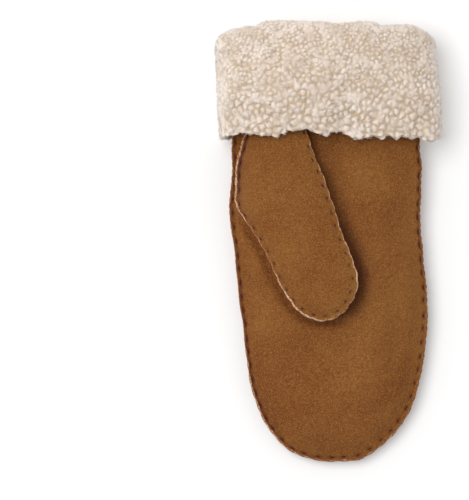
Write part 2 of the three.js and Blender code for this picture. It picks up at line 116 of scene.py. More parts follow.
HAND_OUTLINE = (
    Edge(-0.97, 1.0), Edge(-0.985, 0.476), Edge(-0.983, 0.26), Edge(-1.005, 0.165), Edge(-0.985, 0.07),
    Edge(-0.935, -0.12), Edge(-0.882, -0.34), Edge(-0.813, -0.56), Edge(-0.735, -0.72), Edge(-0.585, -0.854),
    Edge(-0.357, -0.955), Edge(-0.12, -0.994), Edge(0.12, -1.0), Edge(0.35, -0.978), Edge(0.565, -0.912),
    Edge(0.8, -0.79), Edge(0.93, -0.64), Edge(0.995, -0.47), Edge(1.01, -0.32), Edge(0.985, -0.1),
    Edge(0.942, 0.07), Edge(0.945, 0.26), Edge(0.933, 0.476), Edge(0.91, 1.0),
)
HAND_HEIGHTS = (
    Height(1.0, 0.36, 0.79, 1.22), Height(0.8, 0.36, 0.77, 1.18), Height(0.476, 0.32, 0.66, 0.96),
    Height(0.26, 0.14, 0.56, 0.98), Height(0.07, 0.0, 0.5, 1.01), Height(-0.1, 0.0, 0.47, 1.02),
    Height(-0.34, 0.0, 0.44, 1.0), Height(-0.64, 0.0, 0.41, 0.95), Height(-0.85, 0.0, 0.36, 0.86),
    Height(-1.0, 0.0, 0.32, 0.74),
)
PALM_FOLDS = (
    Fold(0.42, 0.37, -4, 1.3, 0.2, -0.03), Fold(0.5, 0.3, 8, 0.9, 0.22, 0.03),
    Fold(0.55, -0.62, 55, 1.5, 0.3, -0.05), Fold(0.1, -0.5, 12, 1.8, 0.6, -0.04),
    Fold(-0.45, -0.45, 100, 1.6, 0.4, 0.03),
)
# Finer creases than the solids carry, where the wrist bends and where the fingers' end has been pressed.
PALM_CREASES = (
    Fold(0.52, 0.375, -3, 0.75, 0.045, -0.014), Fold(0.62, 0.345, 6, 0.6, 0.04, -0.011),
    Fold(0.38, 0.33, 4, 0.5, 0.05, 0.008), Fold(0.2, -0.36, 20, 1.1, 0.09, -0.008),
    Fold(0.55, -0.45, -18, 0.9, 0.08, -0.008), Fold(-0.2, -0.62, 30, 1.0, 0.09, -0.007),
)
# Patches where the palm is lighter or darker, with the tone in place of the rise; the dark band across the wrist
# crease, below the cuff, is painted shade.
PALM_TONES = (
    Fold(0.6, 0.55, 0, 1.0, 0.25, 0.4), Fold(0.5, 0.41, -3, 1.5, 0.16, -0.9),
    Fold(0.5, 0.28, 10, 0.9, 0.4, 0.5), Fold(0.86, 0.1, 92, 2.4, 0.16, 0.7),
    Fold(0.3, 0.06, 110, 1.4, 0.3, -0.8), Fold(0.5, -0.32, 20, 0.7, 0.5, 0.6),
    Fold(0.75, -0.56, 60, 0.5, 0.28, -1.2), Fold(0.52, -0.74, 48, 0.8, 0.25, -1.1),
    Fold(0.9, -0.52, 80, 1.0, 0.12, 0.9), Fold(0.66, -0.76, 50, 0.9, 0.12, 0.9),
    Fold(0.1, -0.78, 10, 0.9, 0.3, -0.7), Fold(-0.35, -0.55, 50, 0.7, 0.3, -0.6),
    Fold(-0.68, -0.3, 75, 1.5, 0.2, 0.6), Fold(-0.48, -0.12, 60, 0.9, 0.22, -1.0),
    Fold(-0.3, -0.76, 130, 0.5, 0.2, 0.6),
)
# How far the sewn edge stands outside the plain outline, in mm, against the share of its length.
PALM_EDGE_WAVE = (
    (0.0, 0.0), (0.13, 0.1), (0.2, 0.6), (0.232, 0.0), (0.28, 0.4), (0.31, 0.0), (0.37, 0.5), (0.42, 0.4),
    (0.46, 0.2), (0.5, 0.0), (0.53, 1.1), (0.56, 1.5), (0.595, 1.4), (0.62, 0.7), (0.65, 0.7), (0.68, 1.1),
    (0.73, 1.0), (0.75, 0.7), (0.78, 0.9), (0.8, 1.1), (0.82, 0.7), (0.835, 1.2), (0.85, 1.5), (0.865, 1.8),
    (0.878, 1.1), (0.89, 0.9), (1.0, 0.4),
)
THUMB_OUTLINE = (
    ThumbEdge(0.17, -0.19), ThumbEdge(0.14, -0.08), ThumbEdge(0.09, 0.035), ThumbEdge(0.051, 0.134),
    ThumbEdge(0.036, 0.276), ThumbEdge(0.038, 0.365), ThumbEdge(0.081, 0.422), ThumbEdge(0.235, 0.577),
    ThumbEdge(0.331, 0.716), ThumbEdge(0.427, 0.85), ThumbEdge(0.56, 0.957), ThumbEdge(0.72, 1.0),
    ThumbEdge(0.87, 0.963), ThumbEdge(0.965, 0.88), ThumbEdge(0.998, 0.77), ThumbEdge(0.955, 0.666),
    ThumbEdge(0.877, 0.5235), ThumbEdge(0.8125, 0.3825), ThumbEdge(0.7286, 0.219), ThumbEdge(0.651, 0.077),
    ThumbEdge(0.58, -0.08), ThumbEdge(0.54, -0.19),
)
THUMB_HEIGHTS = (
    ThumbHeight(-0.19, 0.12), ThumbHeight(0, 0.4), ThumbHeight(0.3, 0.95), ThumbHeight(0.6, 1.0),
    ThumbHeight(1.0, 0.92),
)
# The hole in the palm under the thumb, from the web to the wrist and back along its left side.
THUMB_HOLE = (
    ThumbEdge(0.085, 0.36), ThumbEdge(0.5, -0.12), ThumbEdge(0.21, -0.12), ThumbEdge(0.15, 0.06),
    ThumbEdge(0.1, 0.25),
)


def smoothstep(value: Array, low: float, high: float) -> Array:
    """Rises smoothly from 0 at low to 1 at high.

    Args:
        value: The values to read.
        low: Where the rise starts.
        high: Where it ends.

    Returns:
        The shares, in the shape of value.
    """
    share = np.clip((value - low) / (high - low), 0.0, 1.0)
    return share * share * (3 - 2 * share)


def read_table(rows: tuple, at: Array, column: int) -> Array:
    """Reads a column of a table, smoothly between its rows.

    Args:
        rows: The table, whose first column rises or falls all the way.
        at: Values of the first column.
        column: The column to read.

    Returns:
        The column's values at those places.
    """
    table = np.array(rows, dtype=float)
    if table[0, 0] > table[-1, 0]:
        table = table[::-1]
    index = np.clip(np.searchsorted(table[:, 0], at) - 1, 0, len(table) - 2)
    share = np.clip((at - table[index, 0]) / (table[index + 1, 0] - table[index, 0]), 0, 1)
    share = share * share * (3 - 2 * share)
    return table[index, column] * (1 - share) + table[index + 1, column] * share


def smooth_line(points: Array, per_span: int = 10) -> Array:
    """Runs a centripetal Catmull-Rom curve through points.

    Args:
        points: The points, a row each.
        per_span: The steps between two points.

    Returns:
        The points of the curve.
    """
    padded = np.vstack([2 * points[0] - points[1], points, 2 * points[-1] - points[-2]])
    share = np.arange(per_span)[:, None] / per_span
    spans = []
    for p0, p1, p2, p3 in zip(padded[:-3], padded[1:-2], padded[2:-1], padded[3:]):
        gaps = [math.sqrt(np.linalg.norm(b - a)) or 1.0 for a, b in ((p0, p1), (p1, p2), (p2, p3))]
        t1 = ((p1 - p0) / gaps[0] - (p2 - p0) / (gaps[0] + gaps[1]) + (p2 - p1) / gaps[1]) * gaps[1]
        t2 = ((p2 - p1) / gaps[1] - (p3 - p1) / (gaps[1] + gaps[2]) + (p3 - p2) / gaps[2]) * gaps[1]
        square = (-3 * p1 + 3 * p2 - 2 * t1 - t2) * share**2
        cube = (2 * p1 - 2 * p2 + t1 + t2) * share**3
        spans.append(p1 + t1 * share + square + cube)
    return np.vstack(spans + [points[-1:]])


def even_line(points: Array, count: int) -> Array:
    """Spaces points evenly along a line.

    Args:
        points: The line's points.
        count: The number of steps to cut it into.

    Returns:
        count + 1 points.
    """
    run = np.concatenate([[0.0], np.cumsum(np.linalg.norm(np.diff(points, axis=0), axis=1))])
    at = np.linspace(0, run[-1], count + 1)
    return np.column_stack([np.interp(at, run, points[:, i]) for i in range(points.shape[1])])


def rough(points: Array, size: float, octaves: int = 3, shift: float = 0.0) -> Array:
    """Fractal noise at points.

    Args:
        points: The points, in millimetres.
        size: The size of the largest lumps, in millimetres.
        octaves: How many finer layers it has.
        shift: Moves the pattern, so that two uses differ.

    Returns:
        A value from about -1 to 1 for each point.
    """
    place = np.asarray(points) / size + shift
    return np.array([noise.fractal(Vector(p), 1.0, 2.0, octaves) for p in place])


def eased(distance: Array, start: float, crease: float) -> Array:
    """How far past a start distances are, never below 0, with a soft bend there.

    Args:
        distance: The distances, from 0.
        start: Where the way past it begins.
        crease: How wide the bend is.

    Returns:
        The ways past it, in the shape of distance.
    """
    past = distance - start
    return (past + np.sqrt(past**2 + crease**2) + start - math.hypot(start, crease)) / 2


@dataclass
class Outline:
    """The outline of a sewn piece: down its left side, round its tip and up its right side."""

    points: Array
    closed: bool = False

    def __post_init__(self) -> None:
        """Splits the line at its lowest point."""
        self.tip = int(np.argmin(self.points[:, 1]))
        self.left_side = self.points[: self.tip + 1]
        self.right_side = self.points[self.tip :][::-1]

    def left(self, y: Array) -> Array:
        """The left side's place across at heights y."""
        return np.interp(y, self.left_side[::-1, 1], self.left_side[::-1, 0])

    def right(self, y: Array) -> Array:
        """The right side's place across at heights y."""
        return np.interp(y, self.right_side[::-1, 1], self.right_side[::-1, 0])

    def distance(self, x: Array, y: Array) -> Array:
        """The distance from points to the line.

        Args:
            x: The points' places across.
            y: Their places along.

        Returns:
            The distances, in the shape of x.
        """
        line = np.vstack([self.points, self.points[:1]]) if self.closed else self.points
        start, step = line[:-1], np.diff(line, axis=0)
        length = np.maximum((step**2).sum(axis=1), 1e-9)
        flat_x, flat_y = x.ravel(), y.ravel()
        best = np.empty(flat_x.size)
        for low in range(0, flat_x.size, 4000):
            part = slice(low, low + 4000)
            off_x = flat_x[part, None] - start[:, 0]
            off_y = flat_y[part, None] - start[:, 1]
            t = np.clip((off_x * step[:, 0] + off_y * step[:, 1]) / length, 0, 1)
            best[part] = np.hypot(off_x - t * step[:, 0], off_y - t * step[:, 1]).min(axis=1)
        return best.reshape(x.shape)


def normals_of(height: Callable[[Array, Array], Array], x: Array, y: Array) -> Array:
    """The upward unit normals of a height function.

    Args:
        height: The function.
        x: Places across.
        y: Places along.

    Returns:
        The normals, with a last axis of three.
    """
    step = 0.05
    slope_x = (height(x + step, y) - height(x - step, y)) / (2 * step)
    slope_y = (height(x, y + step) - height(x, y - step)) / (2 * step)
    normal = np.stack([-slope_x, -slope_y, np.ones_like(x)], axis=-1)
    return normal / np.linalg.norm(normal, axis=-1, keepdims=True)


@dataclass
class HandForm:
    """The form of the hand: two skins that puff up from one seam."""

    rounding: float = 34.0
    seam_allowance: float = 3.0
    crease: float = 2.6
    puff_power: float = 2.4
    mouth_power: float = 2.3
    rest_sag: float = 1.15
    outline: Outline = field(init=False)

    def __post_init__(self) -> None:
        """Draws the outline."""
        shares = np.array(HAND_OUTLINE)
        self.outline = Outline(smooth_line(shares * [HAND_WIDTH / 2, HAND_LENGTH / 2]))

    def height(self, y: Array, column: int) -> Array:
        """A height of the inner faces at places along the hand, from a column of HAND_HEIGHTS."""
        return read_table(HAND_HEIGHTS, 2 * y / HAND_LENGTH, column) * HAND_THICKNESS

    def round_share(self, y: Array) -> Array:
        """How round the section is: 0 below the cuff and 1 at the mouth."""
        margin = 0.1 * CUFF_DEPTH
        return smoothstep(y, CUFF_EDGE_Y + margin, INNER_TURN_Y - margin)

    def skin_left(self, y: Array) -> Array:
        """The left side of the skins' inner faces."""
        return self.outline.left(y) + SKIN * self.round_share(y)

    def skin_right(self, y: Array) -> Array:
        """The right side of the skins' inner faces."""
        return self.outline.right(y) - SKIN * self.round_share(y)

    def puff(self, x: Array, y: Array) -> Array:
        """How far the skins stand apart.

        Args:
            x: Places across.
            y: Places along.

        Returns:
            The shares, from 0 in the seam to 1.
        """
        middle = (self.skin_left(y) + self.skin_right(y)) / 2
        half = (self.skin_right(y) - self.skin_left(y)) / 2
        share = eased(self.outline.distance(x, y), self.seam_allowance, self.crease) / self.rounding
        flat = 1 - (1 - np.minimum(share, 1)) ** self.puff_power
        across = np.clip(np.abs((x - middle) / np.maximum(half, 1.0)), 0, 1)
        oval = (1 - across**self.mouth_power) ** (1 / self.mouth_power)
        turn = self.round_share(y)
        return flat * (1 - turn) + oval * turn

    def folds(self, x: Array, y: Array, table: tuple) -> Array:
        """The heights that a table of folds adds.

        Args:
            x: Places across.
            y: Places along.
            table: The folds.

        Returns:
            The heights, in the shape of x.
        """
        total = np.zeros_like(x)
        for fold in table:
            turn = math.radians(fold.turn)
            off_x = x - fold.across * HAND_WIDTH / 2
            off_y = y - fold.along * HAND_LENGTH / 2
            run = (off_x * math.cos(turn) + off_y * math.sin(turn)) / (fold.reach * HAND_THICKNESS)
            off = (off_y * math.cos(turn) - off_x * math.sin(turn)) / (fold.width * HAND_THICKNESS)
            total += fold.rise * HAND_THICKNESS * np.exp(-run * run - off * off)
        return total

    def palm_inner(self, x: Array, y: Array) -> Array:
        """The height of the palm skin's inner face."""
        seam = self.height(y, 2)
        rise = self.height(y, 3) - seam
        return seam + GAP / 2 + self.puff(x, y) * (rise + self.folds(x, y, PALM_FOLDS))

    def back_inner(self, x: Array, y: Array) -> Array:
        """The height of the back skin's inner face."""
        seam = self.height(y, 2)
        under = np.maximum(self.height(y, 1), SKIN)
        sag = self.rest_sag + (1 - self.rest_sag) * self.round_share(y)
        return np.maximum(under, seam - GAP / 2 - sag * (seam - under) * self.puff(x, y))

    def palm_outer(self, x: Array, y: Array) -> Array:
        """The height of the palm skin's outer face."""
        return self.palm_inner(x, y) + SKIN / np.maximum(normals_of(self.palm_inner, x, y)[..., 2], STEEPEST)

    def back_outer(self, x: Array, y: Array) -> Array:
        """The height of the back skin's outer face."""
        thick = SKIN / np.maximum(normals_of(self.back_inner, x, y)[..., 2], STEEPEST)
        return np.maximum(self.back_inner(x, y) - thick, 0.0)

    def pile(self, x: Array, y: Array) -> Array:
        """The thickness of the wool inside."""
        room = self.palm_inner(x, y) - self.back_inner(x, y)
        return np.clip(0.46 * room - PILE_CLEARANCE - GAP, GAP, INNER_PILE)


@dataclass
class ThumbForm:
    """The form of the thumb, which is sewn to the palm along its hinge and lies free over it."""

    hand: HandForm
    length: float = 113.2
    spread: float = 78.0
    thickness: float = 14.0
    rounding: float = 15.0
    clearance: float = 0.6
    seam_allowance: float = 3.0
    crease: float = 2.0
    puff_power: float = 2.4
    dent: float = 2.8
    valley: float = 2.8
    outline: Outline = field(init=False)

    def __post_init__(self) -> None:
        """Draws the outline and the hinge."""
        self.outline = Outline(smooth_line(self.points(THUMB_OUTLINE)), closed=True)
        self.web, self.wrist = self.points(THUMB_HOLE[:2])
        self.hinge = (self.wrist - self.web) / np.linalg.norm(self.wrist - self.web)

    def points(self, rows: tuple) -> Array:
        """The places of a table's rows.

        Args:
            rows: The table, as shares of the spread and of the length.

        Returns:
            The places, a row each.
        """
        shares = np.array(rows)
        across = -HAND_WIDTH / 2 + shares[:, 0] * self.spread
        return np.column_stack([across, CUFF_EDGE_Y - shares[:, 1] * self.length])

    def free_share(self, x: Array, y: Array) -> Array:
        """How free of the palm the thumb is, from 0 along the hinge to 1."""
        past = (y - self.web[1]) * -self.hinge[0] + (x - self.web[0]) * self.hinge[1]
        return smoothstep(past, 0.0, self.thickness)

    def beyond(self, x: Array, y: Array) -> Array:
        """How far outside the thumb's outline points lie.

        Args:
            x: The points' places across.
            y: Their places along.

        Returns:
            The distances, below 0 inside the outline.
        """
        line = self.outline
        low, high = line.points[:, 1].min(), line.points[0, 1]
        within = (x > line.left(y)) & (x < line.right(y)) & (y > low) & (y < high)
        return line.distance(x, y) * np.where(within, -1, 1)

    def right_share(self, x: Array, y: Array) -> Array:
        """How far over to the thumb's right side points lie, from 0 to 1."""
        middle = (self.outline.left(y) + self.outline.right(y)) / 2
        return smoothstep(x - middle, -6.0, 10.0)

    def press(self, x: Array, y: Array) -> Array:
        """How deep the palm dips under the thumb's free part and beside its edges.

        Args:
            x: Places across.
            y: Places along.

        Returns:
            The depths, in the shape of x.
        """
        off = self.beyond(x, y)
        reach = np.exp(-((np.maximum(off - 1.5, 0) / 3.2) ** 2) - (np.maximum(-off - 5, 0) / 6) ** 2)
        right = self.right_share(x, y)
        beside = np.exp(-(((off - 1.0) / 2.6) ** 2)) * (1 - right)
        return (self.dent * reach * (0.3 + 0.7 * right) + self.valley * beside) * self.free_share(x, y)

    def puff(self, x: Array, y: Array) -> Array:
        """How far the thumb's skins stand apart, from 0 in the seam to 1."""
        share = eased(self.outline.distance(x, y), self.seam_allowance, self.crease) / self.rounding
        return 1 - (1 - np.minimum(share, 1)) ** self.puff_power

    def height(self, y: Array) -> Array:
        """The thumb's height over the palm."""
        return read_table(THUMB_HEIGHTS, (CUFF_EDGE_Y - y) / self.length, 1) * self.thickness

    def seam_rise(self, x: Array, y: Array) -> Array:
        """How high the seam stands: half of the thumb's height, and more where its right edge curls up."""
        return self.free_share(x, y) * self.height(y) * (0.5 + 0.2 * self.right_share(x, y))

    def seam(self, x: Array, y: Array) -> Array:
        """The height of the thumb's seam."""
        return self.hand.palm_outer(x, y) + self.clearance + SKIN + self.seam_rise(x, y)

    def front_inner(self, x: Array, y: Array) -> Array:
        """The height of the front skin's inner face."""
        rise = self.height(y) - self.seam_rise(x, y)
        return self.seam(x, y) + GAP / 2 + rise * self.puff(x, y)

    def back_inner(self, x: Array, y: Array) -> Array:
        """The height of the back skin's inner face."""
        return self.seam(x, y) - GAP / 2 - self.seam_rise(x, y) * self.puff(x, y)

    def front_outer(self, x: Array, y: Array) -> Array:
        """The height of the front skin's outer face."""
        return self.front_inner(x, y) + SKIN / normals_of(self.front_inner, x, y)[..., 2]

    def back_outer(self, x: Array, y: Array) -> Array:
        """The height of the back skin's outer face."""
        return self.back_inner(x, y) - SKIN / normals_of(self.back_inner, x, y)[..., 2]


class Facing(Enum):
    """The side of a sheet that its outer face looks to."""

    UP = 1
    DOWN = -1


@dataclass
class Stitching:
    """A running stitch beside an edge. Its tables give a value against the share of the edge's length."""

    inset: tuple = (
        (0.0, 2.0), (0.22, 1.7), (0.36, 1.4), (0.45, 1.7), (0.52, 2.3), (0.6, 2.3), (0.68, 2.0), (0.75, 1.4),
        (0.82, 1.2), (1.0, 1.3),
    )
    line: tuple = (
        (0.0, 0.3), (0.2, 0.35), (0.36, 0.55), (0.46, 0.25), (0.55, 0.02), (0.68, 0.02), (0.76, 0.25),
        (1.0, 0.3),
    )
    longer: tuple = ((0.0, 1.1), (0.3, 1.0), (0.55, 0.95), (0.7, 0.95), (0.78, 1.3), (1.0, 1.3))
    gather: tuple = ((0.0, 0.9), (0.15, 0.6), (0.25, 0.3), (0.45, 0.3), (0.6, 0.55), (0.7, 0.9), (1.0, 1.0))
    pitch: float = 8.6
    length: float = 4.4
    thread: float = 0.75
    stain: float = 0.65
    groove: float = 0.6
    scallop: float = 1.0
    start: float = 0.0
    seed: int = 3

    def offset(self, run: Array, depth: Array, total: float) -> Array:
        """How far points lie inside the row of stitches."""
        return depth - read_table(self.inset, run / total, 1)

    def darkness(self, run: Array, depth: Array, total: float) -> Array:
        """How dark the thread and its groove make the skin.

        Args:
            run: Places along the edge.
            depth: Distances from the edge.
            total: The edge's length.

        Returns:
            The darkness, from 0 to 1.
        """
        off = self.offset(run, depth, total)
        pull = self.pull(run, total) * np.exp(-((off / 0.9) ** 2))
        line = read_table(self.line, run / total, 1) * np.exp(-((off / 1.0) ** 2))
        return np.clip(self.stain * pull + line, 0, 1)

    def centres(self, total: float) -> Array:
        """The stitches' places along an edge.

        Args:
            total: The edge's length.

        Returns:
            Their distances from its start, a little uneven as in handwork.
        """
        draw = np.random.default_rng(self.seed)
        even = np.arange(self.start + self.pitch / 2, total, self.pitch)
        return even + draw.uniform(-0.08, 0.08, even.size) * self.pitch

    def pull(self, run: Array, total: float) -> Array:
        """How hard the thread pulls at places along an edge.

        Args:
            run: The places.
            total: The edge's length.

        Returns:
            The shares, from 0 between two stitches to 1 on one.
        """
        centres = self.centres(total)
        index = np.clip(np.searchsorted(centres, run), 1, centres.size - 1)
        near = np.minimum(np.abs(run - centres[index - 1]), np.abs(run - centres[index]))
        return np.exp(-((near / (0.55 * self.length * read_table(self.longer, run / total, 1))) ** 2))

    def relief(self, run: Array, depth: Array, total: float) -> Array:
        """How far the thread presses a skin in.

        Args:
            run: Places along the edge.
            depth: Distances from the edge.
            total: The edge's length.

        Returns:
            The heights that it adds to the outer face, mostly below 0.
        """
        pull = self.pull(run, total)
        off = self.offset(run, depth, total)
        deep = 0.5 * read_table(self.line, run / total, 1)
        groove = -self.groove * np.exp(-((off / 0.95) ** 2)) * (deep + (1 - deep) * pull)
        fan = 0.24 * (0.5 - pull) * np.exp(-(((off - 2.9) / 2.6) ** 2))
        return groove + fan


@dataclass
class Sheet:
    """A sewn sheet over an outline: rows of points that run in from its edge to a spine."""

    outline: Outline
    height: Callable[[Array, Array], Array]
    top: float
    spine_end: float
    stations: int
    stitching: Stitching | None = None
    facing: Facing = Facing.UP
    outset: Callable[[Array], Array] | None = None
    wander: float = 0.0

    def __post_init__(self) -> None:
        """Cuts both sides of the outline into even steps."""
        sides = []
        for side in (self.outline.left_side, self.outline.right_side):
            kept = side[side[:, 1] < self.top]
            start = np.array([[np.interp(self.top, side[::-1, 1], side[::-1, 0]), self.top]])
            sides.append(even_line(np.vstack([start, kept]), self.stations))
        self.left, self.right = sides
        self.runs = [np.linalg.norm(np.diff(side, axis=0), axis=1).sum() for side in sides]
        self.total = sum(self.runs)
        low = (self.softened(self.left[:, 1]) + self.softened(self.right[:, 1])) / 2
        middle = (self.outline.left(low) + self.outline.right(low)) / 2
        self.spine = np.column_stack([middle, low])

    def softened(self, y: Array) -> Array:
        """Places along the spine for places along a side, which stop short of the tip."""
        return (y + self.spine_end + np.sqrt((y - self.spine_end) ** 2 + 14.0**2)) / 2

    def run_at(self, station: Array, side: int) -> Array:
        """The distance along the whole edge of stations on the left side, -1, or the right side, 1."""
        share = station / self.stations
        return share * self.runs[0] if side < 0 else self.total - share * self.runs[1]

    def place(self, station: Array, side: int, depth: Array) -> tuple[Array, Array, Array]:
        """The places of points on the sheet, seen from above.

        Args:
            station: Places along a side, from 0 at the top to the number of stations at the tip.
            side: -1 for the left side and 1 for the right side.
            depth: Distances in from the edge. A distance of inf is the spine.

        Returns:
            Their x, y and distance along the whole edge.
        """
        edge = self.left if side < 0 else self.right
        steps = np.arange(self.stations + 1)
        start = np.stack([np.interp(station, steps, edge[:, i]) for i in (0, 1)], axis=-1)
        end = np.stack([np.interp(station, steps, self.spine[:, i]) for i in (0, 1)], axis=-1)
        run = self.run_at(station, side)
        length = np.linalg.norm(end - start, axis=-1)
        inset = np.zeros_like(run)
        if self.stitching:
            gather = self.stitching.scallop * read_table(self.stitching.gather, run / self.total, 1)
            inset = inset + gather * self.stitching.pull(run, self.total)
        if self.wander:
            inset = inset + self.wander * np.sin(run / 5.3) * np.sin(run / 13.7 + 1.1)
        if self.outset:
            inset = inset - self.outset(run / self.total)
        way = (end - start) / length[..., None]
        fade = np.clip(1 - depth / 12.0, 0, 1)
        point = start + way * np.minimum(depth + inset * fade, length)[..., None]
        return point[..., 0], point[..., 1], run

    def surface(self, station: Array, side: int, depth: Array) -> Array:
        """Points of the sheet's outer face, with the thread's relief.

        Args:
            station: As place has it.
            side: As place has it.
            depth: As place has it.

        Returns:
            The points, with a last axis of three.
        """
        x, y, run = self.place(station, side, depth)
        z = self.height(x, y)
        if self.stitching:
            z = z + self.facing.value * self.stitching.relief(run, depth, self.total)
        return np.stack([x, y, z], axis=-1)

    def grid(self, depths: Array, edge: Callable[[Array], Array] | None = None) -> tuple[Array, Array, Array]:
        """The whole sheet as a grid, from the tip to the top and from the left edge to the right one.

        Args:
            depths: Distances in from the edge, rising from 0, whose last one is the spine.
            edge: The width of the cut face along the edge, against the share of the edge's length.

        Returns:
            The points, their distances along the edge and their distances from it.
        """
        station = np.arange(self.stations, -1, -1.0)[:, None] * np.ones(len(depths))
        halves = []
        for side in (-1, 1):
            depth = np.ones((self.stations + 1, 1)) * depths
            run = self.run_at(station, side)
            if edge:
                wider = edge(run[:, 1] / self.total) - depths[1]
                depth[:, 1:] += wider[:, None] * np.clip(1 - (depths[1:] - depths[1]) / 9, 0, 1)
            points = self.surface(station, side, depth)
            halves.append((points, run, np.where(np.isinf(depth), 99.0, depth)))
        left, right = halves
        return tuple(np.concatenate([a, b[:, -2::-1]], axis=1) for a, b in zip(left, right))


def depth_rows(finest: float, widest: float, last: float) -> Array:
    """Distances in from an edge, close together at it, which end on the spine.

    Args:
        finest: The first step.
        widest: The widest step.
        last: How far the rows go before the spine.

    Returns:
        The distances, the last of which is inf.
    """
    rows, step = [0.0, finest], finest
    while rows[-1] < last:
        if rows[-1] > 6.0:
            step = min(step * 1.18, widest)
        rows.append(rows[-1] + step)
    return np.array(rows + [np.inf])


def only(obj: bpy.types.Object) -> None:
    """Makes an object the only one selected, and the active one."""
    bpy.ops.object.select_all(action="DESELECT")
    obj.select_set(True)
    bpy.context.view_layer.objects.active = obj


def set_places(obj: bpy.types.Object, points: Array) -> None:
    """Moves an object's vertices to points given in millimetres."""
    obj.data.vertices.foreach_set("co", (np.asarray(points, dtype=np.float32) * MM).ravel())
    obj.data.update()


def get_places(obj: bpy.types.Object) -> Array:
    """An object's vertices, in millimetres."""
    places = np.empty(len(obj.data.vertices) * 3, dtype=np.float32)
    obj.data.vertices.foreach_get("co", places)
    return places.reshape(-1, 3).astype(float) / MM


def add_attribute(obj: bpy.types.Object, name: str, values: Array) -> None:
    """Gives each vertex of an object a number under a name, for the materials to read."""
    layer = obj.data.attributes.new(name, "FLOAT", "POINT")
    layer.data.foreach_set("value", np.asarray(values, dtype=np.float32).ravel())


def apply_modifier(obj: bpy.types.Object, kind: str, settings: dict) -> None:
    """Adds a modifier to an object and applies it.

    Args:
        obj: The object.
        kind: The modifier's type.
        settings: Its settings by name.
    """
    only(obj)
    modifier = obj.modifiers.new(kind.lower(), kind)
    for key, value in settings.items():
        setattr(modifier, key, value)
    bpy.ops.object.modifier_apply(modifier=modifier.name)


def shade(obj: bpy.types.Object, degrees: float) -> None:
    """Shades an object smooth but for its edges sharper than an angle."""
    only(obj)
    bpy.ops.object.shade_smooth_by_angle(angle=math.radians(degrees))


def grid_piece(name: str, points: Array, facing: Facing) -> bpy.types.Object:
    """Makes a sheet from a grid primitive whose vertices are moved to points.

    Args:
        name: The piece's name.
        points: The places, rows first, in millimetres.
        facing: Where its faces look.

    Returns:
        The object.
    """
    rows, columns = points.shape[:2]
    bpy.ops.object.select_all(action="DESELECT")
    bpy.ops.mesh.primitive_grid_add(x_subdivisions=columns - 1, y_subdivisions=rows - 1, size=1)
    obj = bpy.context.object
    obj.name = obj.data.name = name
    set_places(obj, points.reshape(-1, 3))
    if facing is Facing.DOWN:
        bpy.ops.object.mode_set(mode="EDIT")
        bpy.ops.mesh.select_all(action="SELECT")
        bpy.ops.mesh.flip_normals()
        bpy.ops.object.mode_set(mode="OBJECT")
    return obj


def close_seam(obj: bpy.types.Object) -> None:
    """Merges the vertices that lie on each other, as where a sheet's sides meet below its spine."""
    only(obj)
    bpy.ops.object.mode_set(mode="EDIT")
    bpy.ops.mesh.select_all(action="SELECT")
    bpy.ops.mesh.remove_doubles(threshold=0.004 * MM)
    bpy.ops.object.mode_set(mode="OBJECT")


def array_piece(name: str, places: Array, faces: Array) -> bpy.types.Object:
    """Joins many small copies into one mesh.

    Args:
        name: The piece's name.
        places: The vertices, in millimetres.
        faces: The triangles, a row of three numbers each.

    Returns:
        The object.
    """
    mesh = bpy.data.meshes.new(name)
    mesh.vertices.add(len(places))
    mesh.vertices.foreach_set("co", (places * MM).astype(np.float32).ravel())
    mesh.loops.add(faces.size)
    mesh.loops.foreach_set("vertex_index", faces.astype(np.int32).ravel())
    mesh.polygons.add(len(faces))
    mesh.polygons.foreach_set("loop_start", np.arange(0, faces.size, 3, dtype=np.int32))
    mesh.polygons.foreach_set("use_smooth", np.ones(len(faces), dtype=bool))
    mesh.update(calc_edges=True)
    obj = bpy.data.objects.new(name, mesh)
    bpy.context.scene.collection.objects.link(obj)
    return obj


def pattern_of(obj: bpy.types.Object) -> tuple[Array, Array]:
    """Takes a finished small shape as arrays and removes its object.

    Args:
        obj: The shape.

    Returns:
        Its vertices in its own units and its triangles.
    """
    apply_modifier(obj, "TRIANGULATE", {})
    mesh = obj.data
    places = np.empty(len(mesh.vertices) * 3, dtype=np.float32)
    mesh.vertices.foreach_get("co", places)
    faces = np.empty(len(mesh.polygons) * 3, dtype=np.int32)
    mesh.loops.foreach_get("vertex_index", faces)
    bpy.data.objects.remove(obj)
    return places.reshape(-1, 3).astype(float), faces.reshape(-1, 3)


def linear(hex_colour: str) -> tuple[float, float, float, float]:
    """Turns an sRGB hex value into a linear colour with full alpha."""
    channels = [int(hex_colour[i : i + 2], 16) / 255 for i in (0, 2, 4)]
    return (*(c / 12.92 if c <= 0.04045 else ((c + 0.055) / 1.055) ** 2.4 for c in channels), 1.0)


def add_node(tree: bpy.types.NodeTree, kind: str, settings: dict | None = None, inputs: dict | None = None):
    """Adds a node to a tree.

    Args:
        tree: The tree.
        kind: The node's type.
        settings: Its settings by name.
        inputs: Values, or other nodes' outputs, by the name or number of its inputs.

    Returns:
        The node.
    """
    node = tree.nodes.new(kind)
    for key, value in (settings or {}).items():
        setattr(node, key, value)
    for key, value in (inputs or {}).items():
        if isinstance(value, bpy.types.NodeSocket):
            tree.links.new(value, node.inputs[key])
        else:
            node.inputs[key].default_value = value
    return node


def put_bump(tree: bpy.types.NodeTree, surface: bpy.types.Node, bump: dict) -> None:
    """Adds a bump with the inputs named and ties it to a surface."""
    normal = add_node(tree, "ShaderNodeBump", inputs=bump).outputs["Normal"]
    tree.links.new(normal, surface.inputs["Normal"])


MIX = {"data_type": "RGBA"}
FACTOR, FIRST, SECOND, MIXED = 0, 6, 7, 2


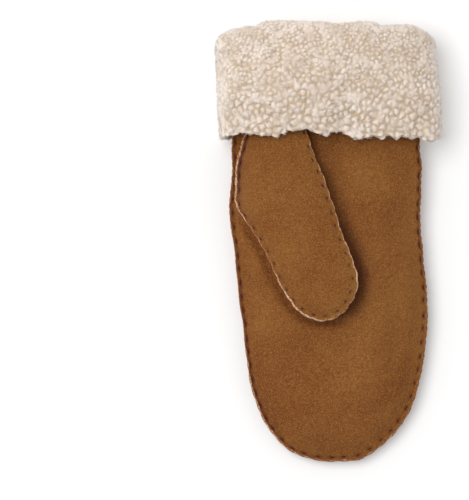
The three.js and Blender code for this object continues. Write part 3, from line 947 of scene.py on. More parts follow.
def new_material(name: str) -> tuple[bpy.types.Material, bpy.types.NodeTree, bpy.types.Node]:
    """Makes a material with an empty Principled surface, and returns it, its tree and that node."""
    material = bpy.data.materials.new(name)
    material.use_nodes = True
    tree = material.node_tree
    return material, tree, tree.nodes["Principled BSDF"]


def per_metre(size_mm: float) -> float:
    """The scale of a pattern whose features have a size in millimetres."""
    return 1 / (size_mm * MM)


@dataclass(frozen=True)
class Suede:
    """Sheepskin suede: a brushed nap, matt and soft, with clouds where the nap lies another way."""

    # To the eye it is warm and without a highlight, with a fine grain and slow clouds of lighter and darker nap.
    # The grain and the grit are drawn coarser than the real nap, so that they show at this distance.

    name: str
    mean: str
    dark: str
    light: str
    raised: str
    sunk: str
    seam: str
    speck: str = "b98752"
    cloud_mm: float = 30.0
    nap_mm: float = 2.6
    grain_mm: float = 0.85
    grit_mm: float = 0.8

    def material(self) -> bpy.types.Material:
        """Builds the suede's nodes: a tone attribute for nap and painted light, a seam one for thread and painted
        shadow.

        Returns:
            The material.
        """
        material, tree, surface = new_material(self.name)
        place = add_node(tree, "ShaderNodeTexCoord").outputs["Object"]
        patterns = {}
        sizes = (
            ("cloud", self.cloud_mm, 3.0), ("nap", self.nap_mm, 2.0), ("grain", self.grain_mm, 2.0),
            ("grit", self.grit_mm, 1.0),
        )
        for key, size, detail in sizes:
            scale = {"Vector": place, "Scale": per_metre(size), "Detail": detail, "Roughness": 0.6}
            patterns[key] = add_node(tree, "ShaderNodeTexNoise", inputs=scale).outputs["Fac"]
        # Tone shifts the clouds: patches of nap, and on the palm and thumb painted light and shade.
        tone = add_node(tree, "ShaderNodeAttribute", {"attribute_name": "tone"}).outputs["Fac"]
        shift = {0: tone, 1: 0.25, 2: patterns["cloud"]}
        patterns["cloud"] = add_node(tree, "ShaderNodeMath", {"operation": "MULTIPLY_ADD"}, shift).outputs[0]
        layers = (
            ("cloud", 0.5, 0.25, 0.0, 0.75, self.dark),
            ("cloud", 0.5, 0.7, 0.0, 0.6, self.light),
            ("nap", 0.5, 0.75, 0.0, 0.4, self.light),
            ("nap", 0.5, 0.25, 0.0, 0.4, self.dark),
            ("grain", 0.5, 0.75, 0.0, 0.75, self.raised),
            ("grain", 0.5, 0.25, 0.0, 0.75, self.sunk),
            ("grit", 0.64, 0.8, 0.0, 0.7, self.speck),
        )
        colour = linear(self.mean)
        for key, low, high, start, end, hex_colour in layers:
            steps = {"Value": patterns[key], "From Min": low, "From Max": high, "To Min": start,
                     "To Max": end}
            share = add_node(tree, "ShaderNodeMapRange", inputs=steps).outputs["Result"]
            mix = {FACTOR: share, FIRST: colour, SECOND: linear(hex_colour)}
            colour = add_node(tree, "ShaderNodeMix", MIX, mix).outputs[MIXED]
        # The seam colour darkens the stitches, and beside the thumb it is painted shadow.
        seam = add_node(tree, "ShaderNodeAttribute", {"attribute_name": "seam"}).outputs["Fac"]
        mix = {FACTOR: seam, FIRST: colour, SECOND: linear(self.seam)}
        colour = add_node(tree, "ShaderNodeMix", MIX, mix).outputs[MIXED]
        tree.links.new(colour, surface.inputs["Base Color"])
        bump = {"Height": patterns["grain"], "Strength": 0.5, "Distance": 0.25 * MM}
        nap = add_node(tree, "ShaderNodeBump", inputs=bump).outputs["Normal"]
        bump = {"Height": patterns["grit"], "Strength": 0.4, "Distance": 0.15 * MM, "Normal": nap}
        put_bump(tree, surface, bump)
        surface.inputs["Roughness"].default_value = 0.95
        surface.inputs["Specular IOR Level"].default_value = 0.12
        surface.inputs["Sheen Weight"].default_value = 0.12
        surface.inputs["Sheen Roughness"].default_value = 0.5
        surface.inputs["Sheen Tint"].default_value = linear(self.light)
        return material


@dataclass(frozen=True)
class CutEdge:
    """The raw cut edge of the skin: pale and fibrous where it is fresh, and tanned where it is worn."""

    # To the eye it is a thin pale line along the seams, which breaks up where the cut is worn.

    name: str = "raw_cut_skin"
    pale: str = "d8b496"
    worn: str = "96603a"
    fibre_mm: float = 1.4

    def material(self) -> bpy.types.Material:
        """Builds the edge's nodes, which read a pale attribute for how fresh it is.

        Returns:
            The material.
        """
        material, tree, surface = new_material(self.name)
        place = add_node(tree, "ShaderNodeTexCoord").outputs["Object"]
        scale = {"Vector": place, "Scale": per_metre(self.fibre_mm), "Detail": 3.0}
        fibres = add_node(tree, "ShaderNodeTexNoise", inputs=scale).outputs["Fac"]
        pale = add_node(tree, "ShaderNodeAttribute", {"attribute_name": "pale"}).outputs["Fac"]
        mix = {0: fibres, 1: 4.0, 2: pale}
        total = add_node(tree, "ShaderNodeMath", {"operation": "MULTIPLY_ADD"}, mix).outputs[0]
        steps = {"Value": total, "From Min": 2.2, "From Max": 3.1}
        share = add_node(tree, "ShaderNodeMapRange", inputs=steps).outputs["Result"]
        mix = {FACTOR: share, FIRST: linear(self.worn), SECOND: linear(self.pale)}
        tree.links.new(add_node(tree, "ShaderNodeMix", MIX, mix).outputs[MIXED], surface.inputs["Base Color"])
        bump = {"Height": fibres, "Strength": 0.5, "Distance": 0.2 * MM}
        put_bump(tree, surface, bump)
        surface.inputs["Roughness"].default_value = 0.9
        surface.inputs["Specular IOR Level"].default_value = 0.2
        return material


@dataclass(frozen=True)
class Wool:
    """Washed sheep's wool: crimped, matt and pale at its tips, and yellower and darker down in the pile, where
    the darkness is partly painted shade.
    """

    # The root colour darkens those hollows, partly as painted shade.
    # To the eye it is soft and cream, with tips that the light passes into and warmer hollows between them.
    # The crimp is drawn coarser than the real one, so that it shows.

    name: str
    tip: str
    root: str
    shadow: str
    crimp_mm: float = 1.0
    depth_mm: float = 1.4

    def material(self) -> bpy.types.Material:
        """Builds the wool's nodes, which read tip and shade attributes.

        Returns:
            The material.
        """
        material, tree, surface = new_material(self.name)
        place = add_node(tree, "ShaderNodeTexCoord").outputs["Object"]
        tip = add_node(tree, "ShaderNodeAttribute", {"attribute_name": "tip"}).outputs["Fac"]
        lock = add_node(tree, "ShaderNodeAttribute", {"attribute_name": "shade"}).outputs["Fac"]
        # The root colour in the hollows is partly painted shade; the tip colour on the cuff's sides is partly
        # painted light.
        steps = {"Value": tip, "From Min": 0.0, "From Max": 0.75}
        share = add_node(tree, "ShaderNodeMapRange", inputs=steps).outputs["Result"]
        mix = {FACTOR: share, FIRST: linear(self.root), SECOND: linear(self.tip)}
        colour = add_node(tree, "ShaderNodeMix", MIX, mix).outputs[MIXED]
        steps = {"Value": lock, "From Min": 0.0, "From Max": 1.0, "To Min": 0.0, "To Max": 0.65}
        share = add_node(tree, "ShaderNodeMapRange", inputs=steps).outputs["Result"]
        mix = {FACTOR: share, FIRST: colour, SECOND: linear(self.shadow)}
        colour = add_node(tree, "ShaderNodeMix", MIX, mix).outputs[MIXED]
        tree.links.new(colour, surface.inputs["Base Color"])
        scale = {"Vector": place, "Scale": per_metre(self.crimp_mm), "Detail": 2.0}
        crimp = add_node(tree, "ShaderNodeTexNoise", inputs=scale).outputs["Fac"]
        bump = {"Height": crimp, "Strength": 0.5, "Distance": 0.3 * MM}
        put_bump(tree, surface, bump)
        surface.inputs["Roughness"].default_value = 1.0
        surface.inputs["Specular IOR Level"].default_value = 0.05
        surface.inputs["Subsurface Weight"].default_value = 0.8
        surface.inputs["Subsurface Radius"].default_value = (1.0, 0.85, 0.7)
        surface.inputs["Subsurface Scale"].default_value = self.depth_mm * MM
        surface.inputs["Sheen Weight"].default_value = 0.2
        surface.inputs["Sheen Roughness"].default_value = 0.6
        return material


@dataclass(frozen=True)
class Thread:
    """Waxed brown thread: dark, twisted and matt with wear."""

    # To the eye it is a row of small dark dashes. The twist is drawn coarser than the real one, so that it shows.

    name: str = "spun_thread"
    colour: str = "3a1b10"
    fleck: str = "582c24"
    twist_mm: float = 0.8

    def material(self) -> bpy.types.Material:
        """Builds the thread's nodes.

        Returns:
            The material.
        """
        material, tree, surface = new_material(self.name)
        place = add_node(tree, "ShaderNodeTexCoord").outputs["Object"]
        scale = {"Vector": place, "Scale": per_metre(self.twist_mm), "Detail": 1.0}
        twist = add_node(tree, "ShaderNodeTexNoise", inputs=scale).outputs["Fac"]
        mix = {FACTOR: twist, FIRST: linear(self.colour), SECOND: linear(self.fleck)}
        tree.links.new(add_node(tree, "ShaderNodeMix", MIX, mix).outputs[MIXED], surface.inputs["Base Color"])
        bump = {"Height": twist, "Strength": 0.5, "Distance": 0.1 * MM}
        put_bump(tree, surface, bump)
        surface.inputs["Roughness"].default_value = 0.85
        surface.inputs["Specular IOR Level"].default_value = 0.1
        return material


@dataclass
class Finishes:
    """The materials of the whole mitten."""

    suede: bpy.types.Material
    flesh: bpy.types.Material
    edge: bpy.types.Material
    wool: bpy.types.Material
    thread: bpy.types.Material


def make_finishes() -> Finishes:
    """Builds each finish once."""
    # The suede's seam colour darkens the stitches and also paints the shadow beside the thumb.
    suede = Suede("napped_sheepskin_suede", mean="7f4f26", dark="6b3b1b", light="8b5d2e", raised="a06d38",
                  sunk="5f3413", seam="43201a")
    flesh = Suede("flesh_side_of_the_skin", mean="c9a67c", dark="b08a5e", light="dcc09a", raised="e2caa6",
                  sunk="a98358", seam="a07850")
    # The wool's root colour is partly a yellower root and partly painted shade in its hollows.
    wool = Wool("washed_curly_wool", tip="eaddd2", root="c4ad8f", shadow="d0bda8")
    return Finishes(
        suede.material(), flesh.material(), CutEdge().material(), wool.material(), Thread().material()
    )


def dress(obj: bpy.types.Object, materials: list, slot: str, *nodes: str) -> None:
    """Finishes a piece and ties it to the frame.

    Args:
        obj: The piece.
        materials: Its materials, in the order of its faces' numbers.
        slot: A material slot's name, which is not used.
        nodes: The CAD nodes that it stands for.
    """
    for number, material in enumerate(materials):
        if number < len(obj.data.materials):
            obj.data.materials[number] = material
        else:
            obj.data.materials.append(material)
    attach(obj, ROOT)
    if nodes:
        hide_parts(*nodes)
    log.info("%s: %d faces", obj.name, len(obj.data.polygons))


def skin_piece(name: str, sheet: Sheet, depths: Array, edge: Callable[[Array], Array],
               pale: Callable[[Array], Array],
               relief: Callable[[Array, Array], Array] | None = None,
               tone: Callable[[Array, Array], Array] | None = None,
               painted_shadow: Callable[[Array, Array], Array] | None = None) -> bpy.types.Object:
    """Makes a skin: its outer face, its slanting cut edge and its wall.

    Args:
        name: The piece's name.
        sheet: The sheet that it follows.
        depths: The rows in from its edge.
        edge: The cut face's width along the edge.
        pale: How fresh the cut is along the edge, from 0 to 1.
        relief: Heights that the outer face has besides, against the points and their distances from the edge.
        tone: How much lighter or darker the skin is, for its nap and as painted light and shade.
        painted_shadow: How dark the skin is painted as shadow, from 0 to 1.

    Returns:
        The object, with faces numbered 0 outside, 1 inside and 2 on the cut.
    """
    def ragged(share: Array) -> Array:
        """The cut face's width, uneven as the knife leaves it."""
        run = share * sheet.total
        uneven = 1 + 0.4 * np.sin(run / 1.7) * np.sin(run / 4.9 + 0.7) + 0.1 * np.sin(run / 0.66)
        return edge(share) * uneven

    points, run, depth = sheet.grid(depths, ragged)
    if relief:
        flat = points.reshape(-1, 3)
        points[..., 2] += relief(flat, depth.ravel()).reshape(depth.shape)
    points[:, [0, -1], 2] -= sheet.facing.value * 0.4 * SKIN
    obj = grid_piece(name, points, sheet.facing)
    columns = points.shape[1]
    first = np.array([min(p.vertices) % columns for p in obj.data.polygons])
    cut = (first == 0) | (first == columns - 2)
    obj.data.polygons.foreach_set("material_index", np.where(cut, 2, 0).astype(np.int32))
    dark = sheet.stitching.darkness(run, depth, sheet.total)
    # Painted shadow joins the thread's darkness in the seam attribute.
    if painted_shadow:
        dark = np.maximum(dark, painted_shadow(points[..., 0], points[..., 1]))
    add_attribute(obj, "seam", dark)
    add_attribute(obj, "pale", pale(run / sheet.total))
    # The tone carries painted light and shade as well as the nap's patches.
    add_attribute(obj, "tone", tone(points[..., 0], points[..., 1]) if tone else np.zeros_like(run))
    close_seam(obj)
    for _ in range(3):
        obj.data.materials.append(None)
    wall = {"thickness": SKIN * MM * 0.8, "offset": -1.0, "material_offset": 1, "material_offset_rim": 2}
    apply_modifier(obj, "SOLIDIFY", wall)
    return obj


def column(rows: tuple) -> Callable[[Array], Array]:
    """Makes a smooth function from rows of a share of the edge's length and a value."""
    return lambda share: read_table(rows, share, 1)


@dataclass
class Hand:
    """The hand's two skins and the wool inside them."""

    form: HandForm
    thumb: ThumbForm
    finishes: Finishes
    stations: int = 330
    spine_end: float = TIP_Y + 52.0
    stitching: Stitching = field(default_factory=Stitching)

    def palm_relief(self, points: Array, depth: Array) -> Array:
        """The palm's creases, its ridge inside the seam and the softness of its skin.

        Args:
            points: The points.
            depth: Their distances from the edge.

        Returns:
            The heights that these add.
        """
        x, y = points[:, 0], points[:, 1]
        far = smoothstep(depth, 2.0, 12.0)
        lower_right = smoothstep(x, 5.0, 45.0) * smoothstep(-y, -20.0, 50.0)
        ridge = 0.55 * np.exp(-(((depth - 10.5) / 3.0) ** 2)) - 0.6 * np.exp(-(((depth - 19.5) / 4.5) ** 2))
        soft = 0.4 * rough(points, 26.0, 2, 3.1) + 0.12 * rough(points, 8.0, 2, 7.7)
        ridge *= 0.25 + 0.75 * lower_right
        return far * (self.form.folds(x, y, PALM_CREASES) + soft - self.thumb.press(x, y)) + ridge

    def palm_tone_and_painted_shade(self, x: Array, y: Array) -> Array:
        """How much lighter or darker the palm is: patches, painted shade beside the thumb, painted light that
        evens the key light, and darker toward the tip.

        Args:
            x: Places across.
            y: Places along.

        Returns:
            The tones, above 0 where the palm is lighter.
        """
        patches = 0.45 * self.form.folds(x, y, PALM_TONES) / HAND_THICKNESS
        off = self.thumb.beyond(x, y)
        free = self.thumb.free_share(x, y)
        # Painted shade on the palm beside the thumb's left edge.
        beside = np.exp(-((np.maximum(off - 1.0, 0) / 3.0) ** 2)) * free * (1 - self.thumb.right_share(x, y))
        # Painted shadow on the palm beside the thumb's right edge.
        wide = np.exp(-((np.maximum(off - 2.0, 0) / 4.5) ** 2)) * free * self.thumb.right_share(x, y)
        # Darker towards the tip.
        low = smoothstep(-y, 30.0, 110.0)
        # The term across is painted light: lighter to the right and darker to the left, against the key light
        # from the left.
        return patches + 0.35 * x / (HAND_WIDTH / 2) - 1.6 * beside - 0.9 * wide - 0.35 * low

    def painted_shadow(self, x: Array, y: Array) -> Array:
        """How dark the palm is painted beside the thumb's right edge: painted shadow.

        Args:
            x: Places across.
            y: Places along.

        Returns:
            The darkness, from 0 to 1.
        """
        near = np.exp(-((np.maximum(self.thumb.beyond(x, y) - 3.0, 0) / 6.0) ** 2))
        lower = 0.25 * smoothstep(-y, -20.0, 15.0)
        beside = self.thumb.free_share(x, y) * self.thumb.right_share(x, y) * smoothstep(y, -56.0, -40.0)
        return (0.25 + lower) * near * beside

    def cutter(self) -> bpy.types.Object:
        """An upright prism through the palm in the shape of the thumb's hole.

        Returns:
            The prism, a little smaller than the hole, so that the thumb's edge covers the cut.
        """
        corners = self.thumb.points(THUMB_HOLE)
        middle = corners.mean(axis=0)
        corners = middle + (corners - middle) * 0.78 + [1.5, 0]
        bpy.ops.object.select_all(action="DESELECT")
        bpy.ops.mesh.primitive_circle_add(vertices=len(corners), fill_type="NGON")
        obj = bpy.context.object
        set_places(obj, np.column_stack([corners, np.zeros(len(corners))]))
        bpy.ops.object.mode_set(mode="EDIT")
        bpy.ops.mesh.select_all(action="SELECT")
        tall = (0, 0, 3 * HAND_THICKNESS * MM)
        bpy.ops.mesh.extrude_region_move(TRANSFORM_OT_translate={"value": tall})
        bpy.ops.mesh.select_all(action="SELECT")
        bpy.ops.mesh.normals_make_consistent(inside=False)
        bpy.ops.object.mode_set(mode="OBJECT")
        return obj

    def sheet(self, height: Callable, facing: Facing, stitching: Stitching, outset: Callable) -> Sheet:
        """A sheet over the whole hand, up to the fold at the mouth."""
        return Sheet(self.form.outline, height, FOLD_Y - SKIN - GAP, self.spine_end, self.stations, stitching,
                     facing, outset, wander=0.3)

    def build_skins(self) -> tuple[Sheet, Sheet]:
        """Builds the palm and the back.

        Returns:
            Their sheets, for the stitches to follow.
        """
        depths = depth_rows(0.55, 3.0, 44.0)
        wave = column(PALM_EDGE_WAVE)
        palm = self.sheet(self.form.palm_outer, Facing.UP, self.stitching, wave)
        edge = column(((0, 0.3), (0.3, 0.3), (0.4, 0.5), (0.55, 0.45), (0.7, 0.3), (1, 0.3)))
        pale = column(((0, 0.1), (0.3, 0.2), (0.4, 0.45), (0.52, 0.35), (0.62, 0.05), (0.7, 0.0), (1, 0.05)))
        # The palm's tone paints shade beside the thumb and evens the key light; its seam darkness paints the
        # thumb's shadow.
        skin = skin_piece("palm_skin", palm, depths, edge, pale, self.palm_relief, self.palm_tone_and_painted_shade,
                          self.painted_shadow)
        hole = self.cutter()
        apply_modifier(skin, "BOOLEAN", {"object": hole, "operation": "DIFFERENCE", "solver": "EXACT"})
        bpy.data.objects.remove(hole)
        shade(skin, 50)
        dress(skin, [self.finishes.suede, self.finishes.flesh, self.finishes.edge], "suede", "palm_panel")

        outset = column(((0, 0.0), (0.3, 0.0), (0.38, 0.4), (0.48, 0.55), (0.56, 0.5), (0.66, 0.2), (1, 0.1)))
        offset = Stitching(start=self.stitching.pitch / 2, seed=4)
        back = self.sheet(self.form.back_outer, Facing.DOWN, offset,
                          lambda share: outset(share) + wave(share))
        skin = skin_piece("back_skin", back, depths, edge, column(((0, 0.0), (0.45, 0.1), (1, 0.0))))
        places = get_places(skin)
        places[:, 2] = np.maximum(places[:, 2], 0.0)
        set_places(skin, places)
        shade(skin, 50)
        dress(skin, [self.finishes.suede, self.finishes.edge, self.finishes.edge], "suede", "back_panel")
        return palm, back

    def build_wool(self) -> None:
        """Builds the wool on the inner face of each skin."""
        inset = 9.0
        depths = np.concatenate([[inset], np.arange(inset + 1.4, 46.0, 1.6), [np.inf]])
        form = self.form
        lifted = {
            "back_wool": (lambda x, y: form.back_inner(x, y) + PILE_CLEARANCE + form.pile(x, y), Facing.UP),
            "palm_wool": (lambda x, y: form.palm_inner(x, y) - PILE_CLEARANCE - form.pile(x, y), Facing.DOWN),
        }
        nodes = {"back_wool": "back_fleece", "palm_wool": "palm_fleece"}
        for name, (height, facing) in lifted.items():
            sheet = Sheet(form.outline, height, INNER_TURN_Y - GAP, self.spine_end + 10, 150, None, facing)
            points, _, depth = sheet.grid(depths)
            lumps = np.abs(rough(points.reshape(-1, 3), 3.2, 2, 5.5)).reshape(depth.shape)
            points[..., 2] += facing.value * (1.6 * lumps - 0.9)
            obj = grid_piece(name, points, facing)
            # The hollows between the lumps take the root colour, partly as painted shade.
            add_attribute(obj, "tip", np.clip(1.6 * lumps, 0, 1))
            add_attribute(obj, "shade", np.clip(0.5 + rough(points.reshape(-1, 3), 9.0, 1), 0, 1))
            close_seam(obj)
            apply_modifier(obj, "SOLIDIFY", {"thickness": 0.5 * MM, "offset": -1.0})
            shade(obj, 80)
            dress(obj, [self.finishes.wool], "wool", nodes[name])


@dataclass
class Thumb:
    """The thumb's two skins and the wool inside them."""

    form: ThumbForm
    finishes: Finishes
    stations: int = 150
    stitching: Stitching = field(default_factory=lambda: Stitching(
        inset=((0.0, 2.7), (0.18, 2.4), (0.25, 1.7), (0.42, 1.7), (0.5, 2.5), (0.62, 3.1), (0.72, 2.6),
               (0.85, 2.2), (0.95, 1.7), (1.0, 1.7)),
        line=((0.0, 0.9), (0.15, 0.85), (0.21, 0.4), (0.27, 0.05), (1.0, 0.0)),
        gather=((0.0, 1.0), (1.0, 1.0)), length=3.0, thread=0.6, stain=0.5, groove=0.35, scallop=0.5, seed=8,
    ))

    def relief(self, points: Array, depth: Array) -> Array:
        """The softness of the thumb's skin, and the roll inside its free edge."""
        far = smoothstep(depth, 2.0, 10.0)
        roll = 0.3 * np.exp(-(((depth - 7.0) / 2.4) ** 2))
        return far * (0.35 * rough(points, 20.0, 2, 9.3) + 0.1 * rough(points, 6.0, 2, 1.7)) + roll

    def tone(self, x: Array, y: Array) -> Array:
        """How much lighter the thumb is painted along its right edge and tip: painted light where the key light
        leaves it in shade.
        """
        painted_light = np.exp(-((self.form.outline.distance(x, y) / 7.0) ** 2)) * self.form.right_share(x, y)
        return 0.9 * painted_light * smoothstep(-y, -30.0, 20.0) + 0.5 * painted_light

    def build(self) -> Sheet:
        """Builds the front, the back and the wool between them.

        Returns:
            The front's sheet, for the stitches to follow.
        """
        depths = depth_rows(0.5, 1.8, 20.0)
        top = self.form.outline.points[0, 1] - GAP
        end = self.form.outline.points[:, 1].min() + 20.0
        front = Sheet(self.form.outline, self.form.front_outer, top, end, self.stations, self.stitching,
                      Facing.UP, wander=0.3)
        edge = column((
            (0, 1.2), (0.1, 1.2), (0.2, 1.0), (0.23, 0.65), (0.27, 0.4), (0.36, 0.45), (0.42, 0.6),
            (0.47, 0.7), (0.505, 0.6), (0.54, 0.4), (0.6, 0.4), (0.63, 0.75), (0.68, 0.55), (0.74, 0.5),
            (1, 0.45),
        ))
        pale = column((
            (0, 0.3), (0.1, 0.5), (0.2, 0.75), (0.25, 0.6), (0.28, 0.25), (0.33, 0.15), (0.37, 0.5),
            (0.42, 0.8), (0.48, 0.9), (0.51, 0.75), (0.55, 0.3), (0.59, 0.3), (0.62, 0.8), (0.66, 0.75),
            (0.7, 0.6), (0.8, 0.5), (1, 0.4),
        ))
        # The thumb's tone paints light on its right edge and tip, which the key light leaves in shade.
        skin = skin_piece("thumb_front_skin", front, depths, edge, pale, self.relief, self.tone)
        shade(skin, 50)
        materials = [self.finishes.suede, self.finishes.flesh, self.finishes.edge]
        dress(skin, materials, "suede", "thumb_front")

        outset = column(((0, 0.0), (0.36, 0.1), (0.42, 0.35), (0.58, 0.45), (0.66, 0.2), (1, 0.1)))
        back = Sheet(self.form.outline, self.form.back_outer, top, end, self.stations, self.stitching,
                     Facing.DOWN, outset, wander=0.3)
        skin = skin_piece("thumb_back_skin", back, depths, edge, pale)
        self.open_to_the_palm(skin)
        shade(skin, 50)
        dress(skin, [self.finishes.suede, self.finishes.edge, self.finishes.edge], "suede", "thumb_back")
        self.build_wool(end)
        return front

    def build_wool(self, spine_end: float) -> None:
        """Builds the wool that fills the thumb behind its seam.

        Args:
            spine_end: The place along the hand where the skins' spine ends.
        """
        form = self.form
        middle = Sheet(form.outline, lambda x, y: (form.front_inner(x, y) + form.back_inner(x, y)) / 2,
                       CUFF_EDGE_Y - 12.0, spine_end + 8.0, 70)
        points, _, depth = middle.grid(np.concatenate([[7.0], np.arange(8.4, 22.0, 1.6), [np.inf]]))
        lumps = np.abs(rough(points.reshape(-1, 3), 3.2, 2, 5.5)).reshape(depth.shape)
        points[..., 2] += 1.0 + lumps
        obj = grid_piece("thumb_wool", points, Facing.UP)
        # The hollows between the lumps take the root colour, partly as painted shade.
        add_attribute(obj, "tip", np.clip(1.6 * lumps, 0, 1))
        add_attribute(obj, "shade", np.full(depth.shape, 0.5))
        close_seam(obj)
        apply_modifier(obj, "SOLIDIFY", {"thickness": 3.2 * MM, "offset": -1.0})
        shade(obj, 80)
        dress(obj, [self.finishes.wool], "wool")

    def open_to_the_palm(self, skin: bpy.types.Object) -> None:
        """Cuts away the back skin on the wrist's side of the hinge."""
        only(skin)
        bpy.ops.object.mode_set(mode="EDIT")
        bpy.ops.mesh.select_all(action="SELECT")
        web = (self.form.web[0] * MM, self.form.web[1] * MM, 0)
        away = (self.form.hinge[1], -self.form.hinge[0], 0)
        bpy.ops.mesh.bisect(plane_co=web, plane_no=away, use_fill=True, clear_inner=True)
        bpy.ops.object.mode_set(mode="OBJECT")


@dataclass
class Seams:
    """The thread of the seams: one bowed stitch, copied along them."""

    finishes: Finishes

    def stitch(self) -> tuple[Array, Array]:
        """Shapes one stitch, a length of thread that dives into the skin at both ends.

        Returns:
            Its vertices, 1 long along X, and its triangles.
        """
        bpy.ops.object.select_all(action="DESELECT")
        across = (0, math.pi / 2, 0)
        bpy.ops.mesh.primitive_uv_sphere_add(segments=6, ring_count=8, radius=0.5, rotation=across)
        obj = bpy.context.object
        bpy.ops.object.transform_apply(location=False, rotation=True, scale=False)
        places, faces = pattern_of(obj)
        along = places[:, 0] * 2
        thick = np.linalg.norm(places[:, 1:], axis=1)
        fuller = 0.5 * (1 - 0.55 * np.abs(along) ** 3) / np.maximum(thick, 1e-6)
        places[:, 1:] *= np.where(thick > 1e-4, fuller, 1.0)[:, None]
        places[:, 2] -= 0.7 * along**4
        return places, faces

    def sew(self, name: str, sheet: Sheet, lowest: float) -> None:
        """Sews a sheet's stitches, each a thread or two that lie a little askew.

        Args:
            name: The piece's name.
            sheet: The sheet that they lie on.
            lowest: The place along the hand past which the cuff hides them.
        """
        stitching = sheet.stitching
        pattern, faces = self.stitch()
        draw = np.random.default_rng(stitching.seed + 20)
        places, triangles = [], []
        for run in stitching.centres(sheet.total):
            side = -1 if run < sheet.runs[0] else 1
            share = run / sheet.runs[0] if side < 0 else (sheet.total - run) / sheet.runs[1]
            step = 0.5 * sheet.stations / sheet.runs[0]
            stations = np.clip(share * sheet.stations + np.array([-step, 0, step]), 0, sheet.stations)
            inset = read_table(stitching.inset, np.full(3, run / sheet.total), 1)
            spots = sheet.surface(stations, side, inset + draw.uniform(-0.25, 0.25))
            turns = [draw.uniform(-0.35, 0.35)]
            if draw.uniform(0, 1) < 0.45:
                turns.append(turns[0] * 2 + 0.6 * math.copysign(1, turns[0]))
            if spots[1, 1] > lowest:
                continue
            along = (spots[2] - spots[0]) / np.linalg.norm(spots[2] - spots[0])
            for number, turn in enumerate(turns):
                over = np.array([0, 0, 1.0]) * sheet.facing.value
                across = np.cross(over, along)
                across /= np.linalg.norm(across)
                ahead = along * math.cos(turn) + across * math.sin(turn)
                across = np.cross(over, ahead)
                up = np.cross(ahead, across)
                length = stitching.length * read_table(stitching.longer, run / sheet.total, 1)
                length *= draw.uniform(0.6, 1.1) * (1 - 0.4 * number)
                thread = stitching.thread * draw.uniform(0.7, 1.1)
                scaled = pattern * [length, thread, thread]
                triangles.append(faces + len(pattern) * len(places))
                spot = spots[1] + up * draw.uniform(-0.1, 0.15)
                places.append(spot + scaled @ np.array([ahead, across, up]))
        obj = array_piece(name, np.vstack(places), np.vstack(triangles))
        dress(obj, [self.finishes.thread], "thread")


# How far the cuff's free edge and the mouth stand above their mean places, against the place across, in mm.
CUFF_EDGE_WAVE = (
    (-66, 0.0), (-57, 2.0), (-50, 2.6), (-40, 1.5), (-35, 0.8), (-31, 0.0), (-28, 1.8), (-24, 3.6),
    (-16, 5.0), (-10, 3.8), (-5, 2.0), (-1, 1.2), (2, 3.9), (8, 4.2), (12, 2.2), (16, -1.0), (20, -0.6),
    (24, 0.2), (27, 1.3), (32, -0.8), (36.5, 1.2), (41.5, -0.9), (46, 0.6), (50, -0.4), (55, 0.2),
    (62, -1.8), (70, -0.4),
)
MOUTH_WAVE = (
    (-70, -5.0), (-63, -5.0), (-57, -4.0), (-46, -2.4), (-39, 0.0), (-26, 0.6), (-6, 0.0), (8, -1.2),
    (17, 0.0), (27, -0.2), (32, -2.4), (40, -1.8), (52, -2.2), (56, -4.2), (62, -4.6), (70, -2.0),
)


class Curl(Enum):
    """The shapes of a strand of wool: how far it is bent in degrees, and its thickness over its length."""

    HAIR = (60, 0.05)
    BENT = (130, 0.075)
    CRIMPED = (200, 0.1)
    KNOTTED = (290, 0.14)


